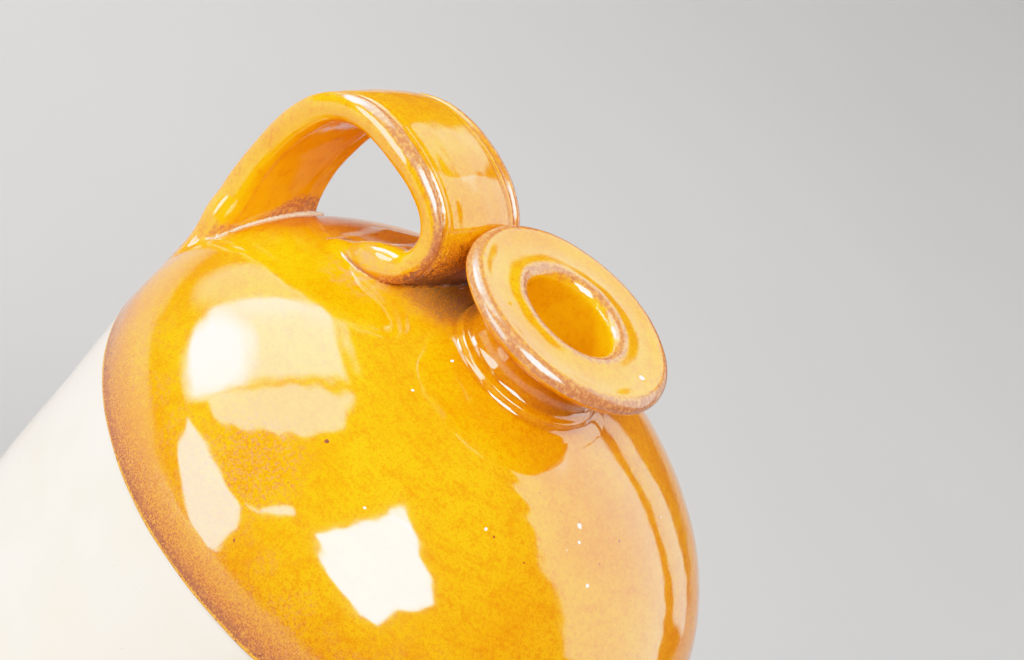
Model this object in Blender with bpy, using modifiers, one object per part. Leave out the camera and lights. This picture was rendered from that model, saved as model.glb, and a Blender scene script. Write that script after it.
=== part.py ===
"""Stoneware demijohn: a thrown, two-tone glazed jar with a narrow mouth and one strap handle.

Metres, +Z up. The origin is the centre of the flat foot, the jar's axis is Z, and the handle
stands on the shoulder towards -X. Every piece is a lump of clay that the potter made by itself
and luted to its neighbour, so each is a solid of its own with a small luting gap.
"""

import math
from collections import namedtuple

import bmesh
import bpy
from mathutils import Vector
from mathutils.geometry import interpolate_bezier

COLLECTION_NAME = "stoneware_demijohn"
CUTTER_COLLECTION_NAME = "stoneware_demijohn_cutters"

GAP = 0.0003                      # left between two pieces that are luted together
MERGE = 0.00001                   # vertices nearer than this are one

# Lower wall: the cream ring from the foot up to the dip line
BODY_RADIUS = 0.0919
WALL_HEIGHT = 0.1952
WALL_THICKNESS = 0.0070
FOOT_INSET = 0.0044               # jar's side to the edge of its foot
FOOT_TURN_HEIGHT = 0.0240         # the wall leaves the vertical this far above the foot
FOOT_BEVEL = 0.0022
FOOT_LAND = 0.0120                # width of the wall's own ring of foot

# Floor: the disc beaten out first, which the wall stands round
FLOOR_THICKNESS = 0.0085
FLOOR_FILLET = 0.0100             # inside, from the floor's edge out to the wall

# Shoulder: the amber dome, closed in from the wall to the neck
EQUATOR_RISE = 0.0026             # dip line to the jar's widest level
DOME_RISE = 0.0615                # widest level to the pole of the dome's curve
DOME_POWER = 1.855                # 2 is an ellipse, less is more pointed
SHOULDER_THICKNESS = 0.0066

# Neck collar: a waisted ring with one throwing ridge at its base
NECK_SEAT_RADIUS = 0.0240
NECK_HEIGHT = 0.0166
NECK_FOOT_EDGE = 0.0005           # thickness of the collar where it thins out onto the shoulder
NECK_WAIST_RADIUS = 0.0186
NECK_WAIST_RISE = 0.0085
RIDGE_RADIUS = 0.0219
RIDGE_RISE = 0.0017
RIDGE_GROOVE_DEPTH = 0.0011
RIDGE_GROOVE_RISE = 0.0032
COVE_RADIUS = 0.0272              # where the waist has opened out to, under the mouth ring

# Mouth ring: the flat flange with a rolled lip round the bore
MOUTH_RADIUS = 0.0320
MOUTH_THICKNESS = 0.0067
BORE_RADIUS = 0.0134
LIP_ROUND = 0.0033
RIM_ROUND = 0.0033
RIM_UNDERCUT = 0.0015             # the rim's lower edge stands in this far from its widest
RIM_EDGE_BEVEL = 0.0007
FACE_DISH = 0.0005

# Strap handle: where its centre line goes
HANDLE_TURN = math.radians(11.3)  # its sections stand this far out of square with its run
HANDLE_NECK_SIDE = -0.0006        # it was luted a little to one side beside the neck
HANDLE_ROOT_SIDE = 0.0006
HANDLE_TUCK = 0.0023              # the strap's back stands in under the mouth ring this far
HANDLE_WAIST_DROP = 0.0103        # under the mouth ring to where the inner leg is upright
HANDLE_LEAN = math.radians(6.0)   # of the inner leg there, towards the neck
HANDLE_RISE = 0.0043              # mouth to the crest of the strap
HANDLE_INSET = 0.0004             # jar's side to the strap's outermost face
HANDLE_ELBOW_DROP = 0.0415        # crest to the level where the outer leg is upright
HANDLE_ROOT_INSET = 0.0098        # jar's side to where the outer leg goes into the shoulder
HANDLE_ROOT_SINK = 0.0120
HEEL_LENGTH = 0.0092              # inner leg to the thick of the heel, under the arch
HEEL_LIFT = 0.0012
TAIL_LENGTH = 0.0095              # heel to the tip of the thumbed-down tail
TAIL_SINK = 0.0020

# How full its curves are: the length of a curve's handle as a share of the run it shapes
TAIL_FULLNESS = 0.30
HEEL_FULLNESS = 0.45
INNER_ARCH_FULLNESS = 0.64
OUTER_ARCH_FULLNESS = 0.67
ROOT_FULLNESS = 0.37

# Its section
STRAP_THICKNESS = 0.0078
HEEL_THICKNESS = 0.0098
TAIL_THICKNESS = 0.0056
STRAP_WIDTH_NECK = 0.0358
STRAP_WIDTH_CREST = 0.0382
STRAP_WIDTH_ELBOW = 0.0350
STRAP_WIDTH_ROOT = 0.0376
TAIL_WIDTH = 0.0300
EDGE_ROUND = 0.0030               # of the strap's edges, across its width
BEAD_WIDTH = 0.0034               # the rounded bead pulled along each edge of the strap
GROOVE_WIDTH = 0.0016
GROOVE_DEPTH = 0.0009
PANEL_CROWN = 0.0009              # the middle of the strap stands this far above its beads
PANEL_SHOULDER = 0.00068          # and so far halfway out to its grooves

# Slip pressed into the corner under the strap's outer root
SLIP_RADIUS = 0.0026
SLIP_END = 0.0030                 # from the strap's edge to the end of the slip

# Facets
BODY_STEPS = 72
NECK_STEPS = 60
DOME_POINTS = 13
LINING_POINTS = 8
FOOT_TURN_POINTS = 6
FILLET_POINTS = 5
COVE_POINTS = 8
SKIRT_POINTS = 5
RIDGE_POINTS = 4
ROUND_POINTS = 8
STRAP_EDGE_POINTS = 7
STRAP_STEPS = 9                   # stations between two knots of the strap's centre line
SLIP_POINTS = 9
SLIP_SIDES = 3                    # bevel resolution of the slip's tube
SMOOTH_ANGLE = math.radians(38)

Knot = namedtuple("Knot", "point way before after width thickness")

equator_z = WALL_HEIGHT + EQUATOR_RISE


def dome_height(radius):
    """Height of the shoulder's outer face at a radius."""
    share = min(radius / BODY_RADIUS, 1.0)
    return equator_z + DOME_RISE * math.sqrt(1.0 - share ** DOME_POWER)


neck_seat_z = dome_height(NECK_SEAT_RADIUS)
mouth_seat_z = neck_seat_z + NECK_HEIGHT
mouth_z = mouth_seat_z + MOUTH_THICKNESS
foot_radius = BODY_RADIUS - FOOT_INSET
floor_radius = foot_radius - FOOT_LAND
away_way = Vector((-math.cos(HANDLE_TURN), math.sin(HANDLE_TURN), 0.0))
across_way = Vector((math.sin(HANDLE_TURN), math.cos(HANDLE_TURN), 0.0))


def clear_scene():
    """Remove every object and start from an empty scene."""
    for old in list(bpy.data.objects):
        bpy.data.objects.remove(old, do_unlink=True)


def new_collection(name):
    collection = bpy.data.collections.new(name)
    bpy.context.scene.collection.children.link(collection)
    return collection


def glaze(name, color, roughness):
    """A glazed or bare clay surface: a Principled BSDF with one colour."""
    material = bpy.data.materials.new(name)
    material.use_nodes = True
    shader = material.node_tree.nodes["Principled BSDF"]
    shader.inputs["Base Color"].default_value = (*color, 1.0)
    shader.inputs["Roughness"].default_value = roughness
    shader.inputs["Metallic"].default_value = 0.0
    material.diffuse_color = (*color, 1.0)
    return material


def evaluated_mesh(obj):
    """A copy of an object's mesh, or its curve's, with its modifiers in it."""
    bpy.context.view_layer.update()
    graph = bpy.context.evaluated_depsgraph_get()
    return bpy.data.meshes.new_from_object(obj.evaluated_get(graph))


def settle(obj):
    """Turn an object's modifiers into a mesh of its own, and shade it smooth by angle."""
    mesh = evaluated_mesh(obj)
    obj.modifiers.clear()
    obj.data = mesh
    mesh.name = obj.name
    mesh.shade_smooth()
    mesh.set_sharp_from_angle(angle=SMOOTH_ANGLE)
    return obj


def place(name, data, collection, material=None):
    obj = bpy.data.objects.new(name, data)
    collection.objects.link(obj)
    if material:
        obj.data.materials.append(material)
    return obj


def turned(name, profile, steps, collection, material=None):
    """Turn a closed profile of (radius, height) points about the jar's axis."""
    mesh = bpy.data.meshes.new(name)
    edges = [(i, (i + 1) % len(profile)) for i in range(len(profile))]
    mesh.from_pydata([(radius, 0.0, height) for radius, height in profile], edges, [])
    obj = place(name, mesh, collection, material)
    screw = obj.modifiers.new("Turn", "SCREW")
    screw.axis = "Z"
    screw.steps = steps
    screw.render_steps = steps
    screw.use_merge_vertices = True
    screw.merge_threshold = MERGE
    return settle(obj)


def arc(center, radii, start, end, count):
    """Points on an elliptical arc, from one angle to another, both ends included."""
    points = []
    for i in range(count):
        angle = start + (end - start) * i / (count - 1)
        points.append((center[0] + radii[0] * math.cos(angle),
                       center[1] + radii[1] * math.sin(angle)))
    return points


def bezier(start, start_handle, end_handle, end, count):
    """Points on a cubic curve in the plane of a profile, both ends included."""
    corners = [Vector((x, y, 0.0)) for x, y in (start, start_handle, end_handle, end)]
    return [(point.x, point.y) for point in interpolate_bezier(*corners, count)]


def corner_curve(start, corner, end, count):
    """Points on a curve that rounds a corner, both ends included."""
    return bezier(start, corner, corner, end, count)


def dome_profile(offset, first_radius, count):
    """The shoulder's curve from a radius out to its widest level, standing off by offset."""
    widest = BODY_RADIUS + offset
    first = math.asin((first_radius / widest) ** (DOME_POWER / 2.0))
    points = []
    for i in range(count):
        angle = first + (math.pi / 2.0 - first) * i / (count - 1)
        points.append((widest * math.sin(angle) ** (2.0 / DOME_POWER),
                       equator_z + (DOME_RISE + offset) * math.cos(angle)))
    return points


def make_floor_disc(collection, material):
    mesh = bpy.data.meshes.new("floor_disc")
    shape = bmesh.new()
    bmesh.ops.create_cone(shape, cap_ends=True, segments=BODY_STEPS, radius1=floor_radius,
                          radius2=floor_radius, depth=FLOOR_THICKNESS)
    bmesh.ops.translate(shape, verts=shape.verts, vec=(0.0, 0.0, FLOOR_THICKNESS / 2.0))
    shape.to_mesh(mesh)
    shape.free()
    return settle(place("floor_disc", mesh, collection, material))


def make_lower_wall(collection, material):
    bore = floor_radius + GAP
    inner = BODY_RADIUS - WALL_THICKNESS
    profile = [(BODY_RADIUS, WALL_HEIGHT)]
    profile += bezier((BODY_RADIUS, FOOT_TURN_HEIGHT),
                      (BODY_RADIUS, FOOT_TURN_HEIGHT / 2.0),
                      (foot_radius + FOOT_BEVEL / 2.0, FOOT_TURN_HEIGHT / 4.0),
                      (foot_radius, FOOT_BEVEL), FOOT_TURN_POINTS)
    profile += [(foot_radius - FOOT_BEVEL, 0.0), (bore, 0.0)]
    profile += arc((bore, FLOOR_THICKNESS + FLOOR_FILLET), (inner - bore, FLOOR_FILLET),
                   -math.pi / 2.0, 0.0, FILLET_POINTS)
    profile += [(inner, WALL_HEIGHT)]
    return turned("lower_wall", profile, BODY_STEPS, collection, material)


def make_shoulder(collection, material):
    seat_z = WALL_HEIGHT + GAP
    profile = dome_profile(0.0, NECK_SEAT_RADIUS, DOME_POINTS)
    profile += [(BODY_RADIUS, seat_z), (BODY_RADIUS - SHOULDER_THICKNESS, seat_z)]
    profile += dome_profile(-SHOULDER_THICKNESS, BORE_RADIUS, LINING_POINTS)[::-1]
    profile += [(BORE_RADIUS, neck_seat_z)]
    return turned("shoulder", profile, BODY_STEPS, collection, material)


def make_neck_collar(collection, material):
    foot_z = neck_seat_z + GAP
    edge_z = foot_z + NECK_FOOT_EDGE
    ridge_z = neck_seat_z + RIDGE_RISE
    groove_z = neck_seat_z + RIDGE_GROOVE_RISE
    groove_radius = RIDGE_RADIUS - RIDGE_GROOVE_DEPTH
    waist = (NECK_WAIST_RADIUS, neck_seat_z + NECK_WAIST_RISE)
    profile = corner_curve((COVE_RADIUS, mouth_seat_z), (NECK_WAIST_RADIUS, mouth_seat_z),
                           waist, COVE_POINTS)
    profile += bezier(waist, (NECK_WAIST_RADIUS, groove_z + RIDGE_RISE),
                      (groove_radius - RIDGE_GROOVE_DEPTH, groove_z),
                      (groove_radius, groove_z), SKIRT_POINTS)[1:]
    profile += bezier((groove_radius, groove_z), (RIDGE_RADIUS, groove_z),
                      (RIDGE_RADIUS, ridge_z), (RIDGE_RADIUS, ridge_z), RIDGE_POINTS)[1:]
    profile += corner_curve((RIDGE_RADIUS, ridge_z), (RIDGE_RADIUS, edge_z),
                            (NECK_SEAT_RADIUS, edge_z), RIDGE_POINTS)[1:]
    profile += [(NECK_SEAT_RADIUS, foot_z), (BORE_RADIUS, foot_z), (BORE_RADIUS, mouth_seat_z)]
    return turned("neck_collar", profile, NECK_STEPS, collection, material)


def make_mouth_ring(collection, material):
    under_z = mouth_seat_z + GAP
    rim_crest = MOUTH_RADIUS - RIM_ROUND
    lip_crest = BORE_RADIUS + LIP_ROUND
    rim_edge = MOUTH_RADIUS - RIM_UNDERCUT
    profile = arc((rim_crest, mouth_z - RIM_ROUND), (RIM_ROUND, RIM_ROUND),
                  math.pi / 2.0, 0.0, ROUND_POINTS)
    profile += [(rim_edge, under_z + RIM_EDGE_BEVEL), (rim_edge - RIM_EDGE_BEVEL, under_z)]
    profile += [(BORE_RADIUS, under_z)]
    profile += arc((lip_crest, mouth_z - LIP_ROUND), (LIP_ROUND, LIP_ROUND),
                   math.pi, math.pi / 2.0, ROUND_POINTS)
    profile += [((rim_crest + lip_crest) / 2.0, mouth_z - FACE_DISH)]
    return turned("mouth_ring", profile, NECK_STEPS, collection, material)


def handle_knots():
    """The knots of the strap's centre line, from the tail over the arch to the outer root.

    A point is (reach, height), its distance from the jar's axis and its height above the foot.
    Before and after are the lengths of the curve's handles on either side of the point.
    """
    half = STRAP_THICKNESS / 2.0
    waist = Vector((MOUTH_RADIUS - HANDLE_TUCK + half, mouth_seat_z - HANDLE_WAIST_DROP))
    elbow_reach = BODY_RADIUS - HANDLE_INSET - half
    crest = Vector(((waist.x + elbow_reach) / 2.0, mouth_z + HANDLE_RISE - half))
    elbow = Vector((elbow_reach, mouth_z + HANDLE_RISE - HANDLE_ELBOW_DROP))
    heel_reach = waist.x + HEEL_LENGTH
    heel = Vector((heel_reach, dome_height(heel_reach) + HEEL_LIFT))
    tail_reach = heel_reach + TAIL_LENGTH
    tail = Vector((tail_reach, dome_height(tail_reach) - TAIL_SINK))
    root_reach = BODY_RADIUS - HANDLE_ROOT_INSET
    root = Vector((root_reach, dome_height(root_reach) - HANDLE_ROOT_SINK))

    up_slope = (heel - tail).normalized()
    upright = Vector((-math.sin(HANDLE_LEAN), math.cos(HANDLE_LEAN)))
    outwards = Vector((1.0, 0.0))
    down = Vector((0.0, -1.0))
    into_dome = (root - elbow).normalized()
    tail_run = (heel - tail).length * TAIL_FULLNESS
    heel_run = (waist - heel).length * HEEL_FULLNESS
    rise = (crest.y - waist.y) * INNER_ARCH_FULLNESS
    inner_span = (crest.x - waist.x) * INNER_ARCH_FULLNESS
    outer_span = (elbow.x - crest.x) * OUTER_ARCH_FULLNESS
    drop = (crest.y - elbow.y) * OUTER_ARCH_FULLNESS
    root_run = (root - elbow).length * ROOT_FULLNESS
    return [
        Knot(tail, up_slope, 0.0, tail_run, TAIL_WIDTH, TAIL_THICKNESS),
        Knot(heel, up_slope, tail_run, heel_run, STRAP_WIDTH_NECK, HEEL_THICKNESS),
        Knot(waist, upright, heel_run, rise, STRAP_WIDTH_NECK, STRAP_THICKNESS),
        Knot(crest, outwards, inner_span, outer_span, STRAP_WIDTH_CREST, STRAP_THICKNESS),
        Knot(elbow, down, drop, root_run, STRAP_WIDTH_ELBOW, STRAP_THICKNESS),
        Knot(root, into_dome, root_run, 0.0, STRAP_WIDTH_ROOT, STRAP_THICKNESS),
    ]


def strap_stations():
    """Points along the strap, each with the width and thickness that it has there."""
    knots = handle_knots()
    stations = []
    for knot, following in zip(knots, knots[1:]):
        run = bezier(knot.point, knot.point + knot.way * knot.after,
                     following.point - following.way * following.before,
                     following.point, STRAP_STEPS)
        for i, point in enumerate(run[:-1]):
            share = i / (STRAP_STEPS - 1)
            ease = share * share * (3.0 - 2.0 * share)
            stations.append((Vector(point),
                             knot.width + (following.width - knot.width) * ease,
                             knot.thickness + (following.thickness - knot.thickness) * ease))
    last = knots[-1]
    stations.append((last.point, last.width, last.thickness))
    return stations


def strap_frames():
    """Centre, outward direction, width and thickness of each section, in the jar's own space."""
    up = Vector((0.0, 0.0, 1.0))
    stations = strap_stations()
    first, last = stations[0][0].x, stations[-1][0].x
    frames = []
    for i, (point, width, thickness) in enumerate(stations):
        before = stations[max(i - 1, 0)][0]
        after = stations[min(i + 1, len(stations) - 1)][0]
        way = (after - before).normalized()
        share = (point.x - first) / (last - first)
        side = HANDLE_NECK_SIDE + (HANDLE_ROOT_SIDE - HANDLE_NECK_SIDE) * share
        center = Vector((-point.x, side, point.y))
        frames.append((center, up * way.x - away_way * way.y, width, thickness))
    return frames


def strap_section(width, thickness, growth=0.0):
    """Rounded edges, a bead and a groove by each edge of the outer face, a crowned panel between.

    Points are (across, outward); growth makes every face stand out by that much.
    """
    half = thickness / 2.0 + growth
    edge = width / 2.0 - EDGE_ROUND
    bead = width / 2.0 - BEAD_WIDTH
    groove = bead - GROOVE_WIDTH / 2.0
    panel = bead - GROOVE_WIDTH
    right = arc((edge, 0.0), (EDGE_ROUND + growth, half),
                -math.pi / 2.0, math.pi / 2.0, STRAP_EDGE_POINTS)
    right += [(bead, half), (groove, half - GROOVE_DEPTH), (panel, half),
              (panel / 2.0, half + PANEL_SHOULDER)]
    left = [(-across, outward) for across, outward in right[::-1]]
    return right + [(0.0, half + PANEL_CROWN)] + left


def make_strap_mesh(name, growth=0.0):
    """Loft the strap's sections along its centre line."""
    shape = bmesh.new()
    rings = []
    for center, outward, width, thickness in strap_frames():
        rings.append([shape.verts.new(center + across_way * across + outward * out)
                      for across, out in strap_section(width, thickness, growth)])
    for ring, following in zip(rings, rings[1:]):
        for i, corner in enumerate(ring):
            j = (i + 1) % len(ring)
            shape.faces.new((corner, ring[j], following[j], following[i]))
    shape.faces.new(rings[0][::-1])
    shape.faces.new(rings[-1])
    bmesh.ops.recalc_face_normals(shape, faces=shape.faces)
    mesh = bpy.data.meshes.new(name)
    shape.to_mesh(mesh)
    shape.free()
    return mesh


def as_cutter(obj):
    obj.hide_render = True
    obj.display_type = "WIRE"
    return obj


def make_dome_cutter(collection):
    """The whole shoulder as a solid, a gap larger, to trim what is luted onto it."""
    profile = dome_profile(GAP, 0.0, DOME_POINTS * 2)
    profile += [(BODY_RADIUS + GAP, WALL_HEIGHT), (0.0, WALL_HEIGHT)]
    return as_cutter(turned("dome_cutter", profile, BODY_STEPS, collection))


def cut(obj, cutter):
    boolean = obj.modifiers.new("Trim", "BOOLEAN")
    boolean.operation = "DIFFERENCE"
    boolean.solver = "EXACT"
    boolean.object = cutter


def make_strap_handle(collection, material, dome_cutter):
    obj = place("strap_handle", make_strap_mesh("strap_handle"), collection, material)
    cut(obj, dome_cutter)
    return settle(obj)


def root_corner(frames, across):
    """Where the strap's underside goes into the shoulder at its outer root, this far across it."""
    below = None
    for center, outward, _, thickness in reversed(frames):
        under = center + across_way * across - outward * (thickness / 2.0)
        height = under.z - dome_height(math.hypot(under.x, under.y))
        if height > 0.0:
            return under.lerp(below[0], height / (height - below[1]))
        below = (under, height)
    raise ValueError("the strap's outer root doesn't come out of the shoulder")


def make_slip_tube(collection):
    """A round bead of slip along the corner under the outer root, as a closed mesh."""
    frames = strap_frames()
    half = STRAP_WIDTH_ROOT / 2.0 - SLIP_END
    curve = bpy.data.curves.new("handle_slip", "CURVE")
    curve.dimensions = "3D"
    curve.bevel_depth = SLIP_RADIUS
    curve.bevel_resolution = SLIP_SIDES
    curve.use_fill_caps = True
    spline = curve.splines.new("POLY")
    spline.points.add(SLIP_POINTS - 1)
    for i, point in enumerate(spline.points):
        across = half * (2.0 * i / (SLIP_POINTS - 1) - 1.0)
        point.co = (*root_corner(frames, across), 1.0)
    tube = place("slip_tube", curve, collection)
    mesh = evaluated_mesh(tube)
    bpy.data.objects.remove(tube)
    shape = bmesh.new()
    shape.from_mesh(mesh)
    bmesh.ops.remove_doubles(shape, verts=shape.verts, dist=MERGE)
    bmesh.ops.recalc_face_normals(shape, faces=shape.faces)
    shape.to_mesh(mesh)
    shape.free()
    return mesh


def make_handle_slip(collection, material, dome_cutter, cutters):
    """The bead of slip, trimmed by the shoulder and by the strap a gap larger."""
    obj = place("handle_slip", make_slip_tube(cutters), collection, material)
    strap_cutter = place("strap_cutter", make_strap_mesh("strap_cutter", GAP), cutters)
    cut(obj, dome_cutter)
    cut(obj, as_cutter(strap_cutter))
    return settle(obj)


def main():
    clear_scene()
    parts = new_collection(COLLECTION_NAME)
    cutters = new_collection(CUTTER_COLLECTION_NAME)

    cream = glaze("cream_glaze", (0.80, 0.74, 0.62), 0.18)
    bare = glaze("bare_stoneware", (0.62, 0.52, 0.38), 0.75)
    amber = glaze("amber_glaze", (0.66, 0.27, 0.02), 0.08)
    amber_neck = glaze("amber_neck_glaze", (0.58, 0.22, 0.02), 0.08)
    amber_mouth = glaze("amber_mouth_glaze", (0.62, 0.26, 0.04), 0.10)
    amber_strap = glaze("amber_strap_glaze", (0.64, 0.27, 0.03), 0.10)
    pale_slip = glaze("pale_slip_glaze", (0.70, 0.42, 0.18), 0.15)

    dome_cutter = make_dome_cutter(cutters)
    make_floor_disc(parts, bare)
    make_lower_wall(parts, cream)
    make_shoulder(parts, amber)
    make_neck_collar(parts, amber_neck)
    make_mouth_ring(parts, amber_mouth)
    make_strap_handle(parts, amber_strap, dome_cutter)
    make_handle_slip(parts, pale_slip, dome_cutter, cutters)


main()
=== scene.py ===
"""Looks of the stoneware demijohn: its glazed surfaces, the camera and the studio.

Metres, +Z up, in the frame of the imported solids. Each lump of clay is one closed mesh that stands
for one solid. What the potter turned is a fine lathe mesh, and the pulled strap is the zero
surface of a distance field, so that it flows into the shoulder as luted clay does.
"""

import math
from itertools import product

import bmesh
import bpy
import numpy as np
from mathutils import Matrix, Vector


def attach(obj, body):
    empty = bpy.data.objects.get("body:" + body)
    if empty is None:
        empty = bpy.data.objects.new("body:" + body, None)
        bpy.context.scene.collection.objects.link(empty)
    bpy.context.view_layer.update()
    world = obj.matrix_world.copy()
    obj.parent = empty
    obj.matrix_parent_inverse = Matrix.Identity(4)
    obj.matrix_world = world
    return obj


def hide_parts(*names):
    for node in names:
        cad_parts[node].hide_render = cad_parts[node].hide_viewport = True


# Body, as the solids have it
BODY_RADIUS = 0.0919
WALL_HEIGHT = 0.1952
WALL_THICKNESS = 0.0070
FOOT_INSET = 0.0044
FOOT_TURN_HEIGHT = 0.0240
FOOT_BEVEL = 0.0022
FOOT_LAND = 0.0120
FLOOR_THICKNESS = 0.0085
FLOOR_FILLET = 0.0100
EQUATOR_RISE = 0.0026
DOME_RISE = 0.0615
DOME_POWER = 1.855
SHOULDER_THICKNESS = 0.0066

# Neck and mouth
NECK_SEAT_RADIUS = 0.0240
NECK_HEIGHT = 0.0166
NECK_WAIST_RADIUS = 0.0186
NECK_WAIST_RISE = 0.0085
NECK_FOOT_FLARE = 0.0030
RIDGE_RADIUS = 0.0219
RIDGE_RISE = 0.0017
RIDGE_GROOVE_DEPTH = 0.0011
RIDGE_GROOVE_RISE = 0.0032
COVE_RADIUS = 0.0272
MOUTH_RADIUS = 0.0320
MOUTH_THICKNESS = 0.0067
BORE_RADIUS = 0.0134
LIP_ROUND = 0.0033
RIM_ROUND = 0.0033
RIM_UNDERCUT = 0.0015
FACE_DISH = 0.0005
LUTE_GAP = 0.0003

# Strap handle's centre line, widths and thicknesses
HANDLE_TURN = math.radians(11.3)
HANDLE_NECK_SIDE = -0.0006
HANDLE_ROOT_SIDE = 0.0006
HANDLE_TUCK = 0.0023
HANDLE_WAIST_DROP = 0.0103
HANDLE_LEAN = math.radians(6.0)
HANDLE_RISE = 0.0043
HANDLE_INSET = 0.0004
HANDLE_ELBOW_DROP = 0.0415
HANDLE_ROOT_INSET = 0.0098
HANDLE_ROOT_SINK = 0.0120
HEEL_LENGTH = 0.0092
HEEL_LIFT = 0.0012
TAIL_LENGTH = 0.0125
TAIL_SINK = 0.0034
TAIL_FULLNESS = 0.30
HEEL_FULLNESS = 0.45
INNER_ARCH_FULLNESS = 0.64
OUTER_ARCH_FULLNESS = 0.67
ROOT_FULLNESS = 0.37
STRAP_THICKNESS = 0.0078
HEEL_THICKNESS = 0.0098
TAIL_THICKNESS = 0.0056
STRAP_WIDTH_NECK = 0.0358
STRAP_WIDTH_CREST = 0.0382
STRAP_WIDTH_ELBOW = 0.0350
STRAP_WIDTH_ROOT = 0.0376
TAIL_WIDTH = 0.0300
PULLED_ROUND = 0.0039             # wet hands round the strap's edges further than the solids do
BEAD_WIDTH = 0.0034
GROOVE_WIDTH = 0.0016
GROOVE_DEPTH = 0.0009
PANEL_CROWN = 0.0009
SKIRT_SINK = 0.00003              # the strap's skirt thins out this far under the shoulder's skin
SKIRT_DEPTH = 0.0012
SKIRT_MARGIN = 0.0006
TAIL_NARROWING = 0.16             # the strap is narrower by this share at the end of its tail
ROOT_SPREAD = 0.0030              # and wider by this where it goes into the shoulder
UNDER_HOLLOW = 0.00042            # its inner side is a little hollow
THUMB_DEPTH = 0.0021              # and thumbed down at the tail
DRAWN_LINE = 0.0026               # a second line is drawn this far inside the groove
TAIL_BLEND = 0.0058               # strap and shoulder flow into each other over this at the tail
TAIL_BLEND_MORE = 0.0016          # more at the tail's very end
TAIL_BLEND_LESS = 0.0044          # and less on the side towards the camera
ROOT_BLEND = 0.0012               # and over this at the outer root
ROOT_BLEND_MORE = 0.0048          # and more on its outer face

# Slip along the strap's outer root
SLIP_RADIUS = 0.00072
SLIP_THINNEST = 0.00002
SLIP_OVERHANG = 0.0008
SLIP_STAND_OFF = 0.00055
SLIP_UPRIGHT = (0.42, 0.91)       # the shoulder's normal there, away and up

# Glaze
COAT = 0.0002                     # the amber coat stands this far over the cream one
COAT_ROUND = 1.6 * COAT
COAT_ROUND_HEIGHT = 0.0004
COAT_OVERLAP = 0.0003             # wall and shoulder reach into each other behind the coat
DIP_WAVE = 0.0007                 # the dip line wanders up and down by this
DIP_SAG = 0.00035                 # and lies this far under the wall's top edge on average
DIP_WAVES = (
    # share, turns, phase
    (0.55, 1.0, 0.7), (0.30, 3.0, 2.1), (0.15, 11.0, 0.0), (0.08, 29.0, 0.0),
)
CREAM_END = 0.0062                # the cream coat ends at this height over the bare foot
CREAM_STEP = 0.00018

# Unevenness of the skin: depth, size and seed of each layer of ripples
BODY_RIPPLES = ((0.00010, 0.060, 11), (0.000034, 0.019, 12), (0.0000045, 0.0060, 13))
NECK_RIPPLES = ((0.00012, 0.024, 21), (0.00002, 0.006, 22))
STRAP_RIPPLES = ((0.00016, 0.024, 41), (0.00003, 0.0075, 42))
PULL_RIPPLES = ((0.000016, 0.0030, 43),)
RING_PITCH = 0.0065               # throwing rings, up the profile
RING_DEPTH = 0.000013
RELIEF_SINK = 0.00028             # the uneven skin lies this far under the true curve on average
STREAK_DEPTH = 0.00003            # wet streaks down the bore
STREAKS = 46.0
SPIRAL_PITCH = 0.011              # the potter's fingers on the floor
SPIRAL_DEPTH = 0.0005
WIRE_PITCH = 0.0042               # marks of the cutting wire under the floor
WIRE_DEPTH = 0.00012

# Fineness of the meshes
BODY_COLUMNS = 640
NECK_COLUMNS = 420
FLOOR_COLUMNS = 180
SKIN_STEP = 0.0006
WALL_STEP = 1.5 * SKIN_STEP
NECK_STEP = 0.00035
LINING_STEP = 0.0035
FIELD_STEP = 0.0005
STRAP_POINTS = 420
SLIP_SIDES = 14
SLIP_RINGS = 90
FIELD_LOW = (0.0180, -0.0480, 0.2020)   # corner of the box that holds the handle: away, across, up
FIELD_HIGH = (0.0960, 0.0220)           # and its opposite one, away and across
SURFACE_ROUNDS = 4                # steps in which the handle's net is drawn onto its true surface
MERGE = 0.000001
CORNER_ANGLE = math.radians(50.0)
TURN = 2.0 * math.pi
QUARTER = math.pi / 2.0

equator_z = WALL_HEIGHT + EQUATOR_RISE
turn_cos = math.cos(HANDLE_TURN)
turn_sin = math.sin(HANDLE_TURN)


def dome_height(radius):
    """Height of the shoulder's outer face at a radius, or at each of an array of them."""
    share = np.minimum(radius / BODY_RADIUS, 1.0)
    return equator_z + DOME_RISE * np.sqrt(1.0 - share ** DOME_POWER)


neck_seat_z = float(dome_height(NECK_SEAT_RADIUS))
mouth_seat_z = neck_seat_z + NECK_HEIGHT
joint_z = mouth_seat_z + LUTE_GAP / 2.0
mouth_z = mouth_seat_z + MOUTH_THICKNESS
foot_radius = BODY_RADIUS - FOOT_INSET
floor_radius = foot_radius - FOOT_LAND


def ease(low, high, value):
    """0 up to low, 1 from high on, and a smooth step between."""
    share = np.clip((value - low) / (high - low), 0.0, 1.0)
    return share * share * (3.0 - 2.0 * share)


def fade(low, high, value):
    """1 up to low, 0 from high on, and a smooth step between."""
    return 1.0 - ease(low, high, value)


def bump(value, center, width):
    """1 at a centre, falling off to nothing over about a width on either side."""
    return np.exp(-((value - center) / width) ** 2)


def arched(value, reach):
    """1 in the middle, falling off in an arch to 0 at a reach on either side."""
    return np.maximum(1.0 - (value / reach) ** 2, 0.0)


def polar(points):
    """Radius and angle round the jar's axis."""
    return np.hypot(points[..., 0], points[..., 1]), np.arctan2(points[..., 1], points[..., 0])


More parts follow.
